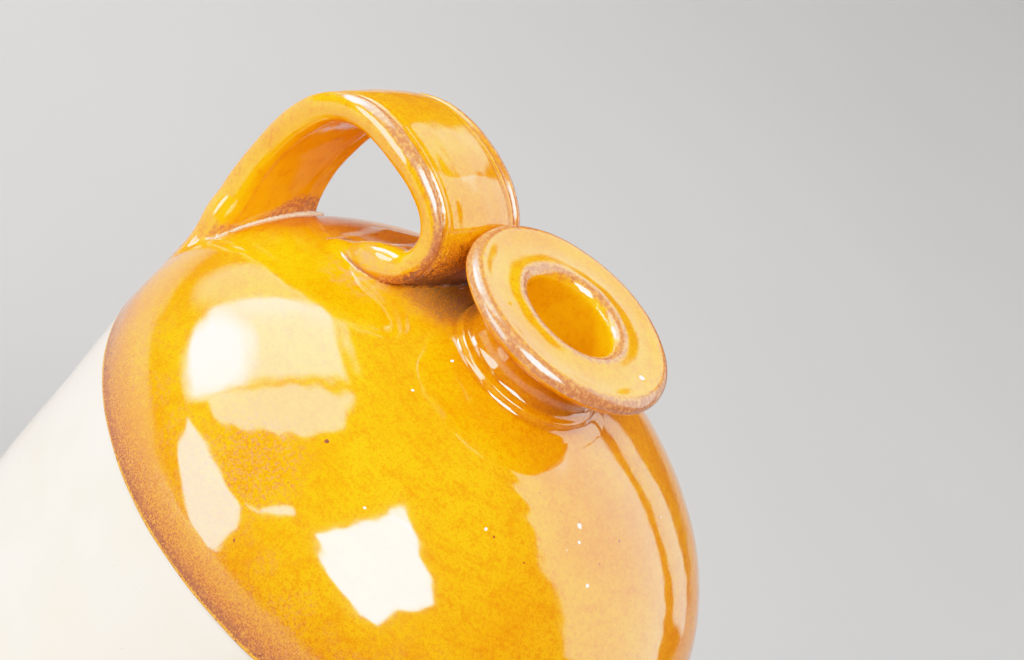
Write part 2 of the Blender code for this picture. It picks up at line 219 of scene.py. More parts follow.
def ripple(points, size, seed, waves=22):
    """Smooth random relief of about this feature size, mostly between -1 and 1."""
    random = np.random.default_rng(seed)
    ways = random.normal(size=(waves, 3))
    ways /= np.linalg.norm(ways, axis=1)[:, None]
    turns = TURN / (size * random.uniform(0.75, 1.6, waves))
    phases = random.uniform(0.0, TURN, waves)
    total = np.zeros(points.shape[:-1])
    for way, turn, phase in zip(ways, turns, phases):
        total += np.sin(points @ (way * turn) + phase)
    return total / math.sqrt(waves / 2.0)


def ripples(points, layers):
    return sum(depth * ripple(points, size, seed) for depth, size, seed in layers)


def thrown_relief(points):
    """How far the thrown and glazed surface stands off its true curve."""
    radius, angle = polar(points)
    rings = np.sin(TURN * ((points[..., 2] - radius) / RING_PITCH / 1.3) + angle)
    relief = ripples(points, BODY_RIPPLES) + RING_DEPTH * rings * (0.6 + 0.4 * ripple(points, 0.03, 14))
    return relief - RELIEF_SINK


def dip_height(angle):
    """Height of the dip line round the jar."""
    wave = sum(share * np.sin(turns * angle + phase) for share, turns, phase in DIP_WAVES)
    return WALL_HEIGHT - DIP_SAG + DIP_WAVE * wave


def cream_end(angle):
    """Height of the line where the cream coat ends over the bare foot."""
    return CREAM_END + 0.0008 * np.sin(2.0 * angle + 0.4) + 0.0004 * np.sin(7.0 * angle)


def arc(center, radii, start, end, count=24):
    """Points on an elliptical arc, from one angle to another, both ends included."""
    angles = np.linspace(start, end, count)
    return list(zip(center[0] + radii[0] * np.cos(angles), center[1] + radii[1] * np.sin(angles)))


def bezier(start, start_handle, end_handle, end, count=32):
    """Points on a cubic curve in a plane, both ends included."""
    share = np.linspace(0.0, 1.0, count)[:, None]
    rest = 1.0 - share
    corners = [np.array(corner) for corner in (start, start_handle, end_handle, end)]
    points = (rest ** 3 * corners[0] + 3.0 * rest ** 2 * share * corners[1]
              + 3.0 * rest * share ** 2 * corners[2] + share ** 3 * corners[3])
    return [tuple(point) for point in points]


def curved(line, *curves):
    """A line carried on by cubic curves, each given as its two handles and its end."""
    for start_handle, end_handle, end in curves:
        line = line + bezier(line[-1], start_handle, end_handle, end)[1:]
    return line


def dome_profile(offset, first_radius, count=160):
    """The shoulder's curve from a radius out to its widest level, standing off by offset."""
    widest = BODY_RADIUS + offset
    first = math.asin((first_radius / widest) ** (DOME_POWER / 2.0))
    angles = np.linspace(first, QUARTER, count)
    return list(zip(widest * np.sin(angles) ** (2.0 / DOME_POWER),
                    equator_z + (DOME_RISE + offset) * np.cos(angles)))


def run_lengths(points):
    """How far along a line in a plane each of its points lies."""
    return np.concatenate([[0.0], np.cumsum(np.hypot(*np.diff(points, axis=0).T))])


def resampled(rows, place, at):
    """Rows of numbers that are known at places along a line, read at others."""
    return np.column_stack([np.interp(at, place, column) for column in rows.T])


def spaced(points, step):
    """Points at an even spacing along a line, with both its ends."""
    points = np.array(points)
    runs = np.hypot(*np.diff(points, axis=0).T)
    points = points[np.concatenate([[True], runs > MERGE])]
    place = run_lengths(points)
    count = max(int(round(place[-1] / step)), 1) + 1
    return resampled(points, place, np.linspace(0.0, place[-1], count))


def softened(rows, width, step):
    """A line whose corners are rounded over about a width, with its ends kept."""
    reach = int(3 * width / step)
    weights = np.exp(-0.5 * (np.arange(-reach, reach + 1) * step / width) ** 2)
    weights /= weights.sum()
    padded = np.vstack([2.0 * rows[0] - rows[reach:0:-1], rows, 2.0 * rows[-1] - rows[-2:-reach - 2:-1]])
    return np.column_stack([np.convolve(column, weights, "valid") for column in padded.T])


def new_mesh(name, vertices, faces):
    """A smooth-shaded mesh object from arrays of points and of faces with equal corner counts."""
    mesh = bpy.data.meshes.new(name)
    mesh.vertices.add(len(vertices))
    mesh.vertices.foreach_set("co", vertices.astype(np.float32).ravel())
    mesh.loops.add(faces.size)
    mesh.loops.foreach_set("vertex_index", faces.astype(np.int32).ravel())
    mesh.polygons.add(len(faces))
    mesh.polygons.foreach_set("loop_start", np.arange(0, faces.size, faces.shape[1], dtype=np.int32))
    mesh.update(calc_edges=True)
    mesh.validate()
    mesh.shade_smooth()
    mesh.set_sharp_from_angle(angle=CORNER_ANGLE)
    obj = bpy.data.objects.new(name, mesh)
    bpy.context.scene.collection.objects.link(obj)
    return obj


def store(obj, name, values):
    """Keep one number a vertex, for the material to read."""
    layer = obj.data.attributes.new(name, "FLOAT", "POINT")
    layer.data.foreach_set("value", np.clip(values, 0.0, 1.0).astype(np.float32).ravel())


def grid_faces(rows, columns, closed):
    """Corner numbers of the faces between rings of points: here, below, below beside and beside."""
    row, column = np.meshgrid(np.arange(rows if closed else rows - 1), np.arange(columns), indexing="ij")
    below = (row + 1) % rows * columns
    beside = (column + 1) % columns
    return [row * columns + column, below + column, below + beside, row * columns + beside]


def lathe(name, profile, columns, relief):
    """Turn a closed (radius, height) profile about the axis, with relief along its normals.

    The profile runs down the outer side. relief takes the points, as rows by columns. Returns the
    object and its points.
    """
    rows = len(profile)
    tangents = np.roll(profile, -1, axis=0) - np.roll(profile, 1, axis=0)
    tangents /= np.maximum(np.hypot(tangents[:, 0], tangents[:, 1]), MERGE)[:, None]
    normals = np.column_stack([-tangents[:, 1], tangents[:, 0]])
    normals[np.abs(profile[:, 0] - BORE_RADIUS) < MERGE] = (-1.0, 0.0)
    angles = np.linspace(0.0, TURN, columns, endpoint=False)
    ring = np.stack([np.cos(angles), np.sin(angles)], axis=-1)

    def around(line):
        flat = line[:, None, :1] * ring[None]
        return np.concatenate([flat, np.broadcast_to(line[:, None, 1:], (rows, columns, 1))], axis=2)

    points = around(profile)
    points = points + around(normals) * relief(points)[..., None]
    faces = np.stack(grid_faces(rows, columns, True), axis=-1)
    return new_mesh(name, points.reshape(-1, 3), faces.reshape(-1, 4)), points


def relief_weight(skin, rows, run):
    """A column that lets relief act on the first rows, the outer skin, and not on the rest."""
    weight = np.zeros(rows)
    weight[:skin] = fade(skin - run, skin, np.arange(skin))
    return weight[:, None]


def mended(obj, mend):
    """Change an object's mesh by a function of its bmesh."""
    shape = bmesh.new()
    shape.from_mesh(obj.data)
    mend(shape)
    shape.to_mesh(obj.data)
    shape.free()


# The turned pieces

def make_shoulder():
    """The amber dome, from under the neck's foot down to the dip line."""
    skin = spaced(dome_profile(0.0, NECK_SEAT_RADIUS - 0.0022) + [(BODY_RADIUS, WALL_HEIGHT + 0.0005)],
                  SKIN_STEP)
    edge = spaced(arc((BODY_RADIUS - COAT_ROUND, WALL_HEIGHT + COAT_ROUND_HEIGHT),
                      (COAT_ROUND, COAT_ROUND_HEIGHT), 0.0, -QUARTER, 7), COAT_ROUND_HEIGHT / 5.0)
    lining = spaced([(BODY_RADIUS - 0.0010, WALL_HEIGHT), (BODY_RADIUS - SHOULDER_THICKNESS, WALL_HEIGHT)]
                    + dome_profile(-SHOULDER_THICKNESS, BORE_RADIUS)[::-1]
                    + [(BORE_RADIUS, neck_seat_z - 0.0010)], LINING_STEP)
    profile = np.vstack([skin, edge, lining])
    weight = relief_weight(len(skin), len(profile), 6)
    obj, points = lathe("shoulder_amber", profile, BODY_COLUMNS, lambda at: thrown_relief(at) * weight)
    near_dip = fade(0.0, 0.004, np.abs(points[..., 2] - WALL_HEIGHT))
    points[..., 2] += (dip_height(polar(points)[1]) - WALL_HEIGHT) * near_dip
    obj.data.vertices.foreach_set("co", points.astype(np.float32).ravel())
    obj.data.update()
    return obj


def make_wall():
    """The cream cylinder, its coat ending in a slightly wavy line over the bare foot."""
    outer = BODY_RADIUS - COAT
    bore = floor_radius + LUTE_GAP
    inner = BODY_RADIUS - WALL_THICKNESS
    top = WALL_HEIGHT + COAT_OVERLAP
    line = curved([(outer, top), (outer, FOOT_TURN_HEIGHT)], (
        (outer, FOOT_TURN_HEIGHT / 2.0), (foot_radius + FOOT_BEVEL / 2.0, FOOT_TURN_HEIGHT / 4.0),
        (foot_radius, FOOT_BEVEL)))
    skin = softened(spaced(line + [(foot_radius - FOOT_BEVEL, 0.0)], WALL_STEP), 0.0006, WALL_STEP)
    skin[:, 1] = np.maximum(skin[:, 1], 0.0)
    fillet = arc((bore, FLOOR_THICKNESS + FLOOR_FILLET), (inner - bore, FLOOR_FILLET), -QUARTER, 0.0)
    lining = spaced([(bore, 0.0)] + fillet + [(inner, top)], LINING_STEP)
    profile = np.vstack([skin, lining])
    weight = relief_weight(len(skin), len(profile), 6) * ease(0.001, 0.006, profile[:, 1])[:, None]

    def bare(at, blur):
        end = cream_end(polar(at)[1])
        return fade(end - blur, end + blur, at[..., 2])

    obj, points = lathe("wall_cream", profile, BODY_COLUMNS,
                        lambda at: (thrown_relief(at) - CREAM_STEP * bare(at, 0.0007)) * weight)
    outside = np.arange(len(profile)) < len(skin) + 2
    store(obj, "bare", bare(points, 0.0004) * outside[:, None])
    return obj


def make_floor():
    """The beaten-out floor: a spiral from the potter's fingers inside, wire marks underneath."""
    top = spaced([(0.0, FLOOR_THICKNESS), (floor_radius, FLOOR_THICKNESS)], 0.0010)
    side = spaced([(floor_radius, FLOOR_THICKNESS - 0.0004), (floor_radius, 0.0004)], 0.0020)
    under = spaced([(floor_radius, 0.0), (0.0, 0.0)], 0.0010)
    profile = np.vstack([top, side, under])
    row = np.arange(len(profile))[:, None]
    is_top = row < len(top)
    is_under = row >= len(top) + len(side)

    def relief(at):
        radius, angle = polar(at)
        calm = ease(0.0, 0.004, floor_radius - radius)
        spiral = np.sin(TURN * radius / SPIRAL_PITCH - angle) * SPIRAL_DEPTH * ease(0.0, 0.01, radius)
        wire = np.hypot(at[..., 0] - 0.030, at[..., 1] + 0.110)
        marks = WIRE_DEPTH * np.sin(TURN * wire / WIRE_PITCH + 0.8 * ripple(at, 0.02, 31)) - 0.00014
        return (spiral * is_top - 0.0006 * is_top + marks * is_under) * calm

    obj = lathe("floor_thrown", profile, FLOOR_COLUMNS, relief)[0]
    mended(obj, lambda shape: bmesh.ops.remove_doubles(shape, verts=shape.verts, dist=MERGE))
    store(obj, "bare", np.ones(len(obj.data.vertices)))
    return obj


def profile_bend(profile, step, skin):
    """Curvature down a profile's skin: positive where it is convex, and the glaze thins."""
    tangents = np.gradient(profile, axis=0)
    bend = -np.gradient(np.unwrap(np.arctan2(tangents[:, 1], tangents[:, 0]))) / step
    bend[skin:] = 0.0
    return np.convolve(bend, np.ones(7) / 7, "same")


def neck_profile():
    """The neck's outer side, from the flange down over the waist and the ridge onto the dome."""
    ridge_z = neck_seat_z + RIDGE_RISE
    groove_z = neck_seat_z + RIDGE_GROOVE_RISE
    groove_radius = RIDGE_RADIUS - RIDGE_GROOVE_DEPTH
    waist = (NECK_WAIST_RADIUS, neck_seat_z + NECK_WAIST_RISE)
    under_flange = (NECK_WAIST_RADIUS, mouth_seat_z)
    flare = NECK_SEAT_RADIUS + NECK_FOOT_FLARE
    return curved(
        [(COVE_RADIUS, joint_z), (COVE_RADIUS, mouth_seat_z)], (under_flange, under_flange, waist),
        ((NECK_WAIST_RADIUS, groove_z + RIDGE_RISE), (groove_radius - RIDGE_GROOVE_DEPTH, groove_z),
         (groove_radius, groove_z)),
        ((RIDGE_RADIUS, groove_z), (RIDGE_RADIUS, ridge_z + 0.0004), (RIDGE_RADIUS, ridge_z)),
        ((RIDGE_RADIUS, ridge_z - 0.0014), (NECK_SEAT_RADIUS + 0.0004, neck_seat_z - 0.0001),
         (flare, float(dome_height(flare)) - 0.00040)))


def neck_relief(at):
    """Hand-thrown unevenness of the neck and mouth, with the wet streaks inside the bore."""
    radius, angle = polar(at)
    streaks = STREAK_DEPTH * np.sin(STREAKS * angle + 2.0 * ripple(at, 0.012, 23))
    inside = fade(BORE_RADIUS + 0.0001, BORE_RADIUS + 0.0005, radius)
    return ripples(at, NECK_RIPPLES) - 0.8 * RELIEF_SINK + streaks * inside


def make_neck():
    """The waisted collar, flowing out onto the dome at its foot."""
    skin = softened(spaced(neck_profile(), NECK_STEP), 0.00035, NECK_STEP)
    foot = spaced([skin[-1] - (0.0002, 0.0006), (BORE_RADIUS, neck_seat_z - 0.0010)], 0.0020)
    bore = spaced([(BORE_RADIUS, neck_seat_z - 0.0006), (BORE_RADIUS, joint_z)], 0.0006)
    profile = np.vstack([skin, foot, bore])
    row = np.arange(len(profile))
    weight = relief_weight(len(skin), len(profile), 4) + (row >= len(skin) + len(foot))[:, None]
    obj = lathe("neck_amber", profile, NECK_COLUMNS, lambda at: neck_relief(at) * weight)[0]
    bend = profile_bend(profile, NECK_STEP, len(skin))
    # painted shade: the neck darkens up under the flange, on top of the glaze pooled in its hollows
    under_flange_shade = fade(0.0, 0.010, mouth_seat_z - profile[:, 1])
    pool_and_shade = np.maximum(ease(100.0, 700.0, -bend), 0.90 * under_flange_shade) * (row < len(skin))
    store(obj, "thin", np.repeat(0.22 * ease(250.0, 900.0, bend), NECK_COLUMNS))
    store(obj, "pool_and_shade", np.repeat(pool_and_shade, NECK_COLUMNS))
    return obj


def on_face(azimuth, radius):
    """A place on the mouth's face, seen from above."""
    angle = math.radians(azimuth)
    return radius * math.cos(angle), radius * math.sin(angle)


CHIP = on_face(13.7, 0.0246)
PIT = on_face(-110.7, 0.0233)


lip_crest = BORE_RADIUS + LIP_ROUND
rim_crest = MOUTH_RADIUS - RIM_ROUND
hollow = (lip_crest + rim_crest) / 2.0


def mouth_profile():
    """From the bore up over the lip, across the dished face, round the rim and in under it."""
    rim_edge = MOUTH_RADIUS - RIM_UNDERCUT
    dish_z = mouth_z - FACE_DISH
    rim_z = mouth_z - RIM_ROUND
    line = [(BORE_RADIUS, joint_z)]
    line += arc((lip_crest, mouth_z - LIP_ROUND), (LIP_ROUND, LIP_ROUND), math.pi, QUARTER)
    line = curved(line, ((lip_crest + 0.0016, mouth_z), (hollow - 0.0030, dish_z), (hollow, dish_z)),
                  ((hollow + 0.0030, dish_z), (rim_crest - 0.0014, mouth_z), (rim_crest, mouth_z)))
    line += arc((rim_crest, rim_z), (RIM_ROUND, RIM_ROUND), QUARTER, 0.0)[1:]
    line = curved(line, ((MOUTH_RADIUS, rim_z - 0.0016), (rim_edge + 0.0002, mouth_seat_z + 0.0016),
                         (rim_edge, mouth_seat_z + 0.0009)))
    return line + [(rim_edge - 0.0008, joint_z), (COVE_RADIUS - 0.0030, joint_z)]


def make_mouth():
    """The flanged mouth: a rounded rim, a dished face and a rolled lip round the bore."""
    skin = softened(spaced(mouth_profile(), NECK_STEP), 0.00030, NECK_STEP)
    rest = spaced([(COVE_RADIUS - 0.0060, joint_z), (BORE_RADIUS + 0.0010, joint_z)], 0.0020)
    profile = np.vstack([skin, rest])
    weight = relief_weight(len(skin), len(profile), 4)

    def away_from(at, place):
        return np.hypot(at[..., 0] - place[0], at[..., 1] - place[1])

    def relief(at):
        at_top = ease(mouth_z - 0.0012, mouth_z - 0.0006, at[..., 2])
        chipped = -0.00035 * fade(0.0004, 0.0012, away_from(at, CHIP)) * at_top
        pitted = -0.00025 * fade(0.0001, 0.0006, away_from(at, PIT)) * at_top
        return (neck_relief(at) + chipped + pitted) * weight

    obj, points = lathe("mouth_amber", profile, NECK_COLUMNS, relief)
    radius, height = profile.T
    in_skin = np.arange(len(profile)) < len(skin)
    rim = bump(radius, MOUTH_RADIUS, 0.0034) * ease(mouth_z - 0.0042, mouth_z - 0.0030, height)
    lip = bump(radius, lip_crest - 0.0008, 0.0021) * (radius < hollow) * ease(
        mouth_z - 0.0036, mouth_z - 0.0020, height)
    # painted shade: the mouth's underside darkens towards the neck, under the flange
    pool_and_shade = fade(mouth_seat_z + 0.0002, mouth_seat_z + 0.0016, height) * in_skin * (radius > lip_crest)
    store(obj, "thin", np.repeat(np.maximum(rim, 0.75 * lip) * in_skin, NECK_COLUMNS))
    store(obj, "pool_and_shade", np.repeat(pool_and_shade, NECK_COLUMNS))
    store(obj, "chip", fade(0.0005, 0.0011, away_from(points, CHIP)) * (points[..., 2] > mouth_z - 0.0014))
    return obj


# The pulled strap. In its own frame, away is along the handle's plane, across is square to it.

def to_jar(away, across, up):
    return -away * turn_cos + across * turn_sin, away * turn_sin + across * turn_cos, up


class StrapLine:
    """The strap's centre line, seen square to its width, with what it measures along the way."""

    def __init__(self):
        reach, height, width, thickness = self.stations()
        side = HANDLE_NECK_SIDE + (HANDLE_ROOT_SIDE - HANDLE_NECK_SIDE) * (
            (reach - reach[0]) / (reach[-1] - reach[0]))
        line = np.column_stack([reach * turn_cos + side * turn_sin, height])
        rows = np.column_stack([line, side * turn_cos - reach * turn_sin, width, thickness])
        place = run_lengths(line)
        at = np.linspace(0.0, place[-1], STRAP_POINTS)
        rows = softened(resampled(rows, place, at), 0.0012, at[1])
        self.points = rows[:, :2]
        self.offset, self.width, self.thickness = rows[:, 2:].T
        self.place = run_lengths(self.points)
        self.length = self.place[-1]
        tangents = np.gradient(self.points, self.place, axis=0)
        self.tangents = tangents / np.hypot(tangents[:, 0], tangents[:, 1])[:, None]
        self.normals = np.column_stack([-self.tangents[:, 1], self.tangents[:, 0]])
        heading = np.unwrap(np.arctan2(self.tangents[:, 1], self.tangents[:, 0]))
        self.curvature = np.gradient(heading, self.place)

    @staticmethod
    def knots():
        """(point, way, handle before, handle after, width, thickness), tail to outer root."""
        half = STRAP_THICKNESS / 2.0
        waist = Vector((MOUTH_RADIUS - HANDLE_TUCK + half, mouth_seat_z - HANDLE_WAIST_DROP))
        elbow_reach = BODY_RADIUS - HANDLE_INSET - half
        crest = Vector(((waist.x + elbow_reach) / 2.0, mouth_z + HANDLE_RISE - half))
        elbow = Vector((elbow_reach, mouth_z + HANDLE_RISE - HANDLE_ELBOW_DROP))
        heel_reach = waist.x + HEEL_LENGTH
        heel = Vector((heel_reach, dome_height(heel_reach) + HEEL_LIFT))
        tail_reach = heel_reach + TAIL_LENGTH
        tail = Vector((tail_reach, dome_height(tail_reach) - TAIL_SINK))
        root_reach = BODY_RADIUS - HANDLE_ROOT_INSET
        root = Vector((root_reach, dome_height(root_reach) - HANDLE_ROOT_SINK))
        up_slope = (heel - tail).normalized()
        upright = Vector((-math.sin(HANDLE_LEAN), math.cos(HANDLE_LEAN)))
        into_dome = (root - elbow).normalized()
        tail_run = (heel - tail).length * TAIL_FULLNESS
        heel_run = (waist - heel).length * HEEL_FULLNESS
        rise = (crest.y - waist.y) * INNER_ARCH_FULLNESS
        inner_span = (crest.x - waist.x) * INNER_ARCH_FULLNESS
        outer_span = (elbow.x - crest.x) * OUTER_ARCH_FULLNESS
        drop = (crest.y - elbow.y) * OUTER_ARCH_FULLNESS
        root_run = (root - elbow).length * ROOT_FULLNESS
        return [
            (tail, up_slope, 0.0, tail_run, TAIL_WIDTH, TAIL_THICKNESS),
            (heel, up_slope, tail_run, heel_run, STRAP_WIDTH_NECK, HEEL_THICKNESS),
            (waist, upright, heel_run, rise, STRAP_WIDTH_NECK, STRAP_THICKNESS),
            (crest, Vector((1.0, 0.0)), inner_span, outer_span, STRAP_WIDTH_CREST, STRAP_THICKNESS),
            (elbow, Vector((0.0, -1.0)), drop, root_run, STRAP_WIDTH_ELBOW, STRAP_THICKNESS),
            (root, into_dome, root_run, 0.0, STRAP_WIDTH_ROOT, STRAP_THICKNESS),
        ]

    def stations(self):
        knots = self.knots()
        rows = []
        for (point, way, _, after, width, thickness), following in zip(knots, knots[1:]):
            end, end_way, before, _, end_width, end_thickness = following
            run = bezier(point, point + way * after, end - end_way * before, end, 60)
            for i, (reach, height) in enumerate(run[:-1]):
                share = ease(0.0, 1.0, i / (len(run) - 1))
                rows.append((reach, height, width + (end_width - width) * share,
                             thickness + (end_thickness - thickness) * share))
        rows.append((*knots[-1][0], *knots[-1][4:]))
        return np.array(rows).T

    def nearest_index(self, away, up, guess=None):
        """The number of the nearest point of the line, sought near a guess where there is one."""
        sought = np.arange(STRAP_POINTS)
        if guess is not None:
            sought = np.clip(guess[..., None] + np.arange(-5, 6), 0, STRAP_POINTS - 1)
        reach, height = np.moveaxis(self.points[sought], -1, 0)
        best = ((away[..., None] - reach) ** 2 + (up[..., None] - height) ** 2).argmin(axis=-1)
        return best if guess is None else np.take_along_axis(sought, best[..., None], axis=-1)[..., 0]

    def nearest(self, away, up, guess=None):
        """Place along, height off the centre line, overshoot past the tail, and the sizes there."""
        away, up = np.broadcast_arrays(away, up)
        index = self.nearest_index(away, up, guess).ravel()
        offset = np.column_stack([away.ravel(), up.ravel()]) - self.points[index]
        along = (offset * self.tangents[index]).sum(axis=1)
        off = (offset * self.normals[index]).sum(axis=1)
        curve = self.curvature[index]
        room = np.maximum(1.0 - curve * off, 0.2)
        past = np.where(index == 0, np.maximum(-along, 0.0), 0.0)
        along = np.where(index == 0, np.maximum(along, 0.0), along)
        off = off - 0.5 * curve * along ** 2 / room
        place = self.place[index] + along / room
        sizes = [np.interp(place, self.place, row) for row in (self.offset, self.width, self.thickness)]
        return [row.reshape(away.shape) for row in (place, off, past, *sizes)]


strap_line = StrapLine()


def dome_distance(x, y, z):
    """Distance outside the shoulder's true curve, good near it."""
    radius = np.hypot(x, y)
    rise = np.maximum(z - equator_z, 0.0)
    level = np.sqrt((radius / BODY_RADIUS) ** DOME_POWER + (rise / DOME_RISE) ** 2)
    level = np.maximum(level, 0.05)
    out = DOME_POWER * (radius / BODY_RADIUS) ** (DOME_POWER - 1.0) / BODY_RADIUS / (2.0 * level)
    up = rise / DOME_RISE ** 2 / level
    return (level - 1.0) / np.hypot(out, up)


def strap_distance(near, across):
    """Distance outside the strap, and where it is across and along it."""
    place, off, past, offset, width, thickness = near
    sideways = across - offset
    width = width * (1.0 - TAIL_NARROWING * fade(-0.002, 0.014, place))
    width = width + ROOT_SPREAD * fade(0.010, 0.019, strap_line.length - place)
    round_off = np.minimum(PULLED_ROUND, thickness / 2.0 - 0.0001)
    flat = np.abs(sideways) - (width / 2.0 - round_off)
    deep = np.abs(off) - (thickness / 2.0 - round_off)
    distance = np.sqrt(np.maximum(flat, 0.0) ** 2 + np.maximum(deep, 0.0) ** 2 + past ** 2)
    distance = distance + np.minimum(np.maximum(flat, deep), 0.0) - round_off
    return distance, sideways, width


def groove_place(half):
    """How far off the middle the groove beside the bead runs, on a strap of half this width."""
    return half - BEAD_WIDTH - GROOVE_WIDTH / 2.0


def strap_relief(place, off, sideways, width):
    """How far the strap's pulled and thumbed faces stand out of its plain section."""
    reach = np.abs(sideways)
    half = width / 2.0
    groove = groove_place(half)
    crown = PANEL_CROWN * arched(reach, groove - GROOVE_WIDTH / 2.0)
    lines = 0.0
    for depth, at, center, spread in (
            (-0.85 * GROOVE_DEPTH, reach, groove, 0.00062),
            (-0.00032, sideways, groove - DRAWN_LINE, 0.00050),
            (-0.00016, sideways, 0.0021 - groove, 0.00045),
            (0.00025, reach, half - 0.0021, 0.0014)):
        lines = lines + depth * bump(at, center, spread)
    face = (crown + lines * ease(0.007, 0.019, place)) * ease(0.0, 0.0022, off)
    hollow = -UNDER_HOLLOW * arched(sideways, 0.36 * width)
    for depth, center, spread in ((0.00022, 0.27 * width, 0.0011), (0.00026, 0.0048 - half, 0.0010)):
        hollow += depth * bump(sideways, center, spread)
    thumbed = -THUMB_DEPTH * arched(sideways, 0.40 * width) * fade(0.009, 0.021, place)
    return face + ease(0.0, 0.0022, -off) * (hollow * ease(0.015, 0.027, place) + thumbed)


def blend_reach(place, off, sideways, width):
    """How widely the strap's skin and the shoulder's flow into each other."""
    near_side = fade(-0.35, -0.12, sideways / width)
    tail = fade(0.002, 0.012, place)
    neck_side = ease(-0.0010, 0.0020, off)
    inner_end = TAIL_BLEND + TAIL_BLEND_MORE * tail - TAIL_BLEND_LESS * near_side * (1.0 - 0.25 * tail)
    inner_end = inner_end * (1.0 - 0.85 * neck_side * ease(0.010, 0.016, place))
    outer_end = ROOT_BLEND + ROOT_BLEND_MORE * neck_side
    return inner_end + (outer_end - inner_end) * ease(0.033, 0.053, place)


def handle_field(near, away, across, up, fine):
    """Below nothing inside the handle with its skirt, above nothing outside."""
    x, y, z = to_jar(away, across, up)
    place, off = near[:2]
    distance, sideways, width = strap_distance(near, across)
    distance = distance - strap_relief(place, off, sideways, width)
    dome = dome_distance(x, y, z) + SKIRT_SINK
    if fine:
        points = np.stack(np.broadcast_arrays(x, y, z), axis=-1)
        pulled = np.stack([sideways, place * 0.10, off * 0.25], axis=-1)
        distance = distance - ripples(points, STRAP_RIPPLES)
        distance = distance - ripples(pulled, PULL_RIPPLES) * ease(0.013, 0.023, place)
        dome = dome - thrown_relief(points)
    reach = blend_reach(place, off, sideways, width)
    share = np.clip(0.5 + 0.5 * (dome - distance) / reach, 0.0, 1.0)
    joined = dome + (distance - dome) * share - reach * share * (1.0 - share)
    return np.maximum(np.maximum(joined, -(dome + SKIRT_DEPTH)), distance - reach - SKIRT_MARGIN)


def surface_net(values, origin, step):
    """Points and four-cornered faces of the surface where a grid of values changes sign."""
    inside = values < 0.0
    size = np.array(values.shape) - 1
    count = sum(inside[i:i + size[0], j:j + size[1], k:k + size[2]].astype(np.int8)
                for i, j, k in product((0, 1), repeat=3))
    mixed = (count > 0) & (count < 8)
    number = np.full(mixed.shape, -1)
    number[mixed] = np.arange(mixed.sum())
    cells = np.argwhere(mixed)
    total = np.zeros((len(cells), 3))
    crossings = np.zeros(len(cells))
    faces = []
    for axis in range(3):
        others = [i for i in range(3) if i != axis]
        for nudge in product((0, 1), repeat=2):
            start = cells.copy()
            start[:, others] += nudge
            end = start.copy()
            end[:, axis] += 1
            low = values[tuple(start.T)]
            high = values[tuple(end.T)]
            crosses = (low < 0.0) != (high < 0.0)
            place = start.astype(float)
            place[:, axis] += np.where(crosses, low / np.where(crosses, low - high, 1.0), 0.0)
            total += place * crosses[:, None]
            crossings += crosses

        start = [slice(1, -1)] * 3
        start[axis] = slice(0, -1)
        end = list(start)
        end[axis] = slice(1, None)
        low = inside[tuple(start)]
        edges = np.argwhere(low != inside[tuple(end)])
        leaves = low[tuple(edges.T)]
        ring = []
        for nudge in ((0, 0), (1, 0), (1, 1), (0, 1)):
            cell = edges.copy()
            cell[:, others] += nudge
            ring.append(number[tuple(cell.T)])
        quads = np.stack(ring, axis=-1)
        flip = leaves if axis == 1 else ~leaves
        quads[flip] = quads[flip][:, ::-1]
        faces.append(quads)
    return origin + step * total / crossings[:, None], np.vstack(faces)


def field_at(points, guess, fine=True):
    """The field at points of (away, across, up)."""
    away, across, up = points.T
    return handle_field(strap_line.nearest(away, up, guess), away, across, up, fine)


def slope_at(points, guess, reach=0.00006):
    slopes = []
    for nudge in np.eye(3) * reach:
        ahead = field_at(points + nudge, guess, False)
        slopes.append((ahead - field_at(points - nudge, guess, False)) / (2.0 * reach))
    return np.column_stack(slopes)


def make_handle():
    """The pulled strap, with a skirt where it was luted down at its tail and its outer root."""
    low = np.array(FIELD_LOW)
    high = (*FIELD_HIGH, mouth_z + HANDLE_RISE + 0.0030)
    away, across, up = np.ix_(*[np.arange(*ends, FIELD_STEP) for ends in zip(low, high)])
    index_map = strap_line.nearest_index(away[:, 0], up[0])
    near = strap_line.nearest(away, up, index_map[:, None, :])
    points, faces = surface_net(handle_field(near, away, across, up, False), low, FIELD_STEP)
    cells = np.rint((points - low) / FIELD_STEP).astype(int)
    guess = index_map[cells[:, 0], cells[:, 2]]
    for _ in range(SURFACE_ROUNDS):
        slope = slope_at(points, guess)
        steep = np.maximum((slope ** 2).sum(axis=1), 0.05)
        move = slope * (field_at(points, guess) / steep)[:, None]
        points = points - np.clip(move, -FIELD_STEP, FIELD_STEP)
    obj = new_mesh("handle_pulled", np.column_stack(to_jar(*points.T)), faces)
    mark_handle(obj, points, guess)
    return obj


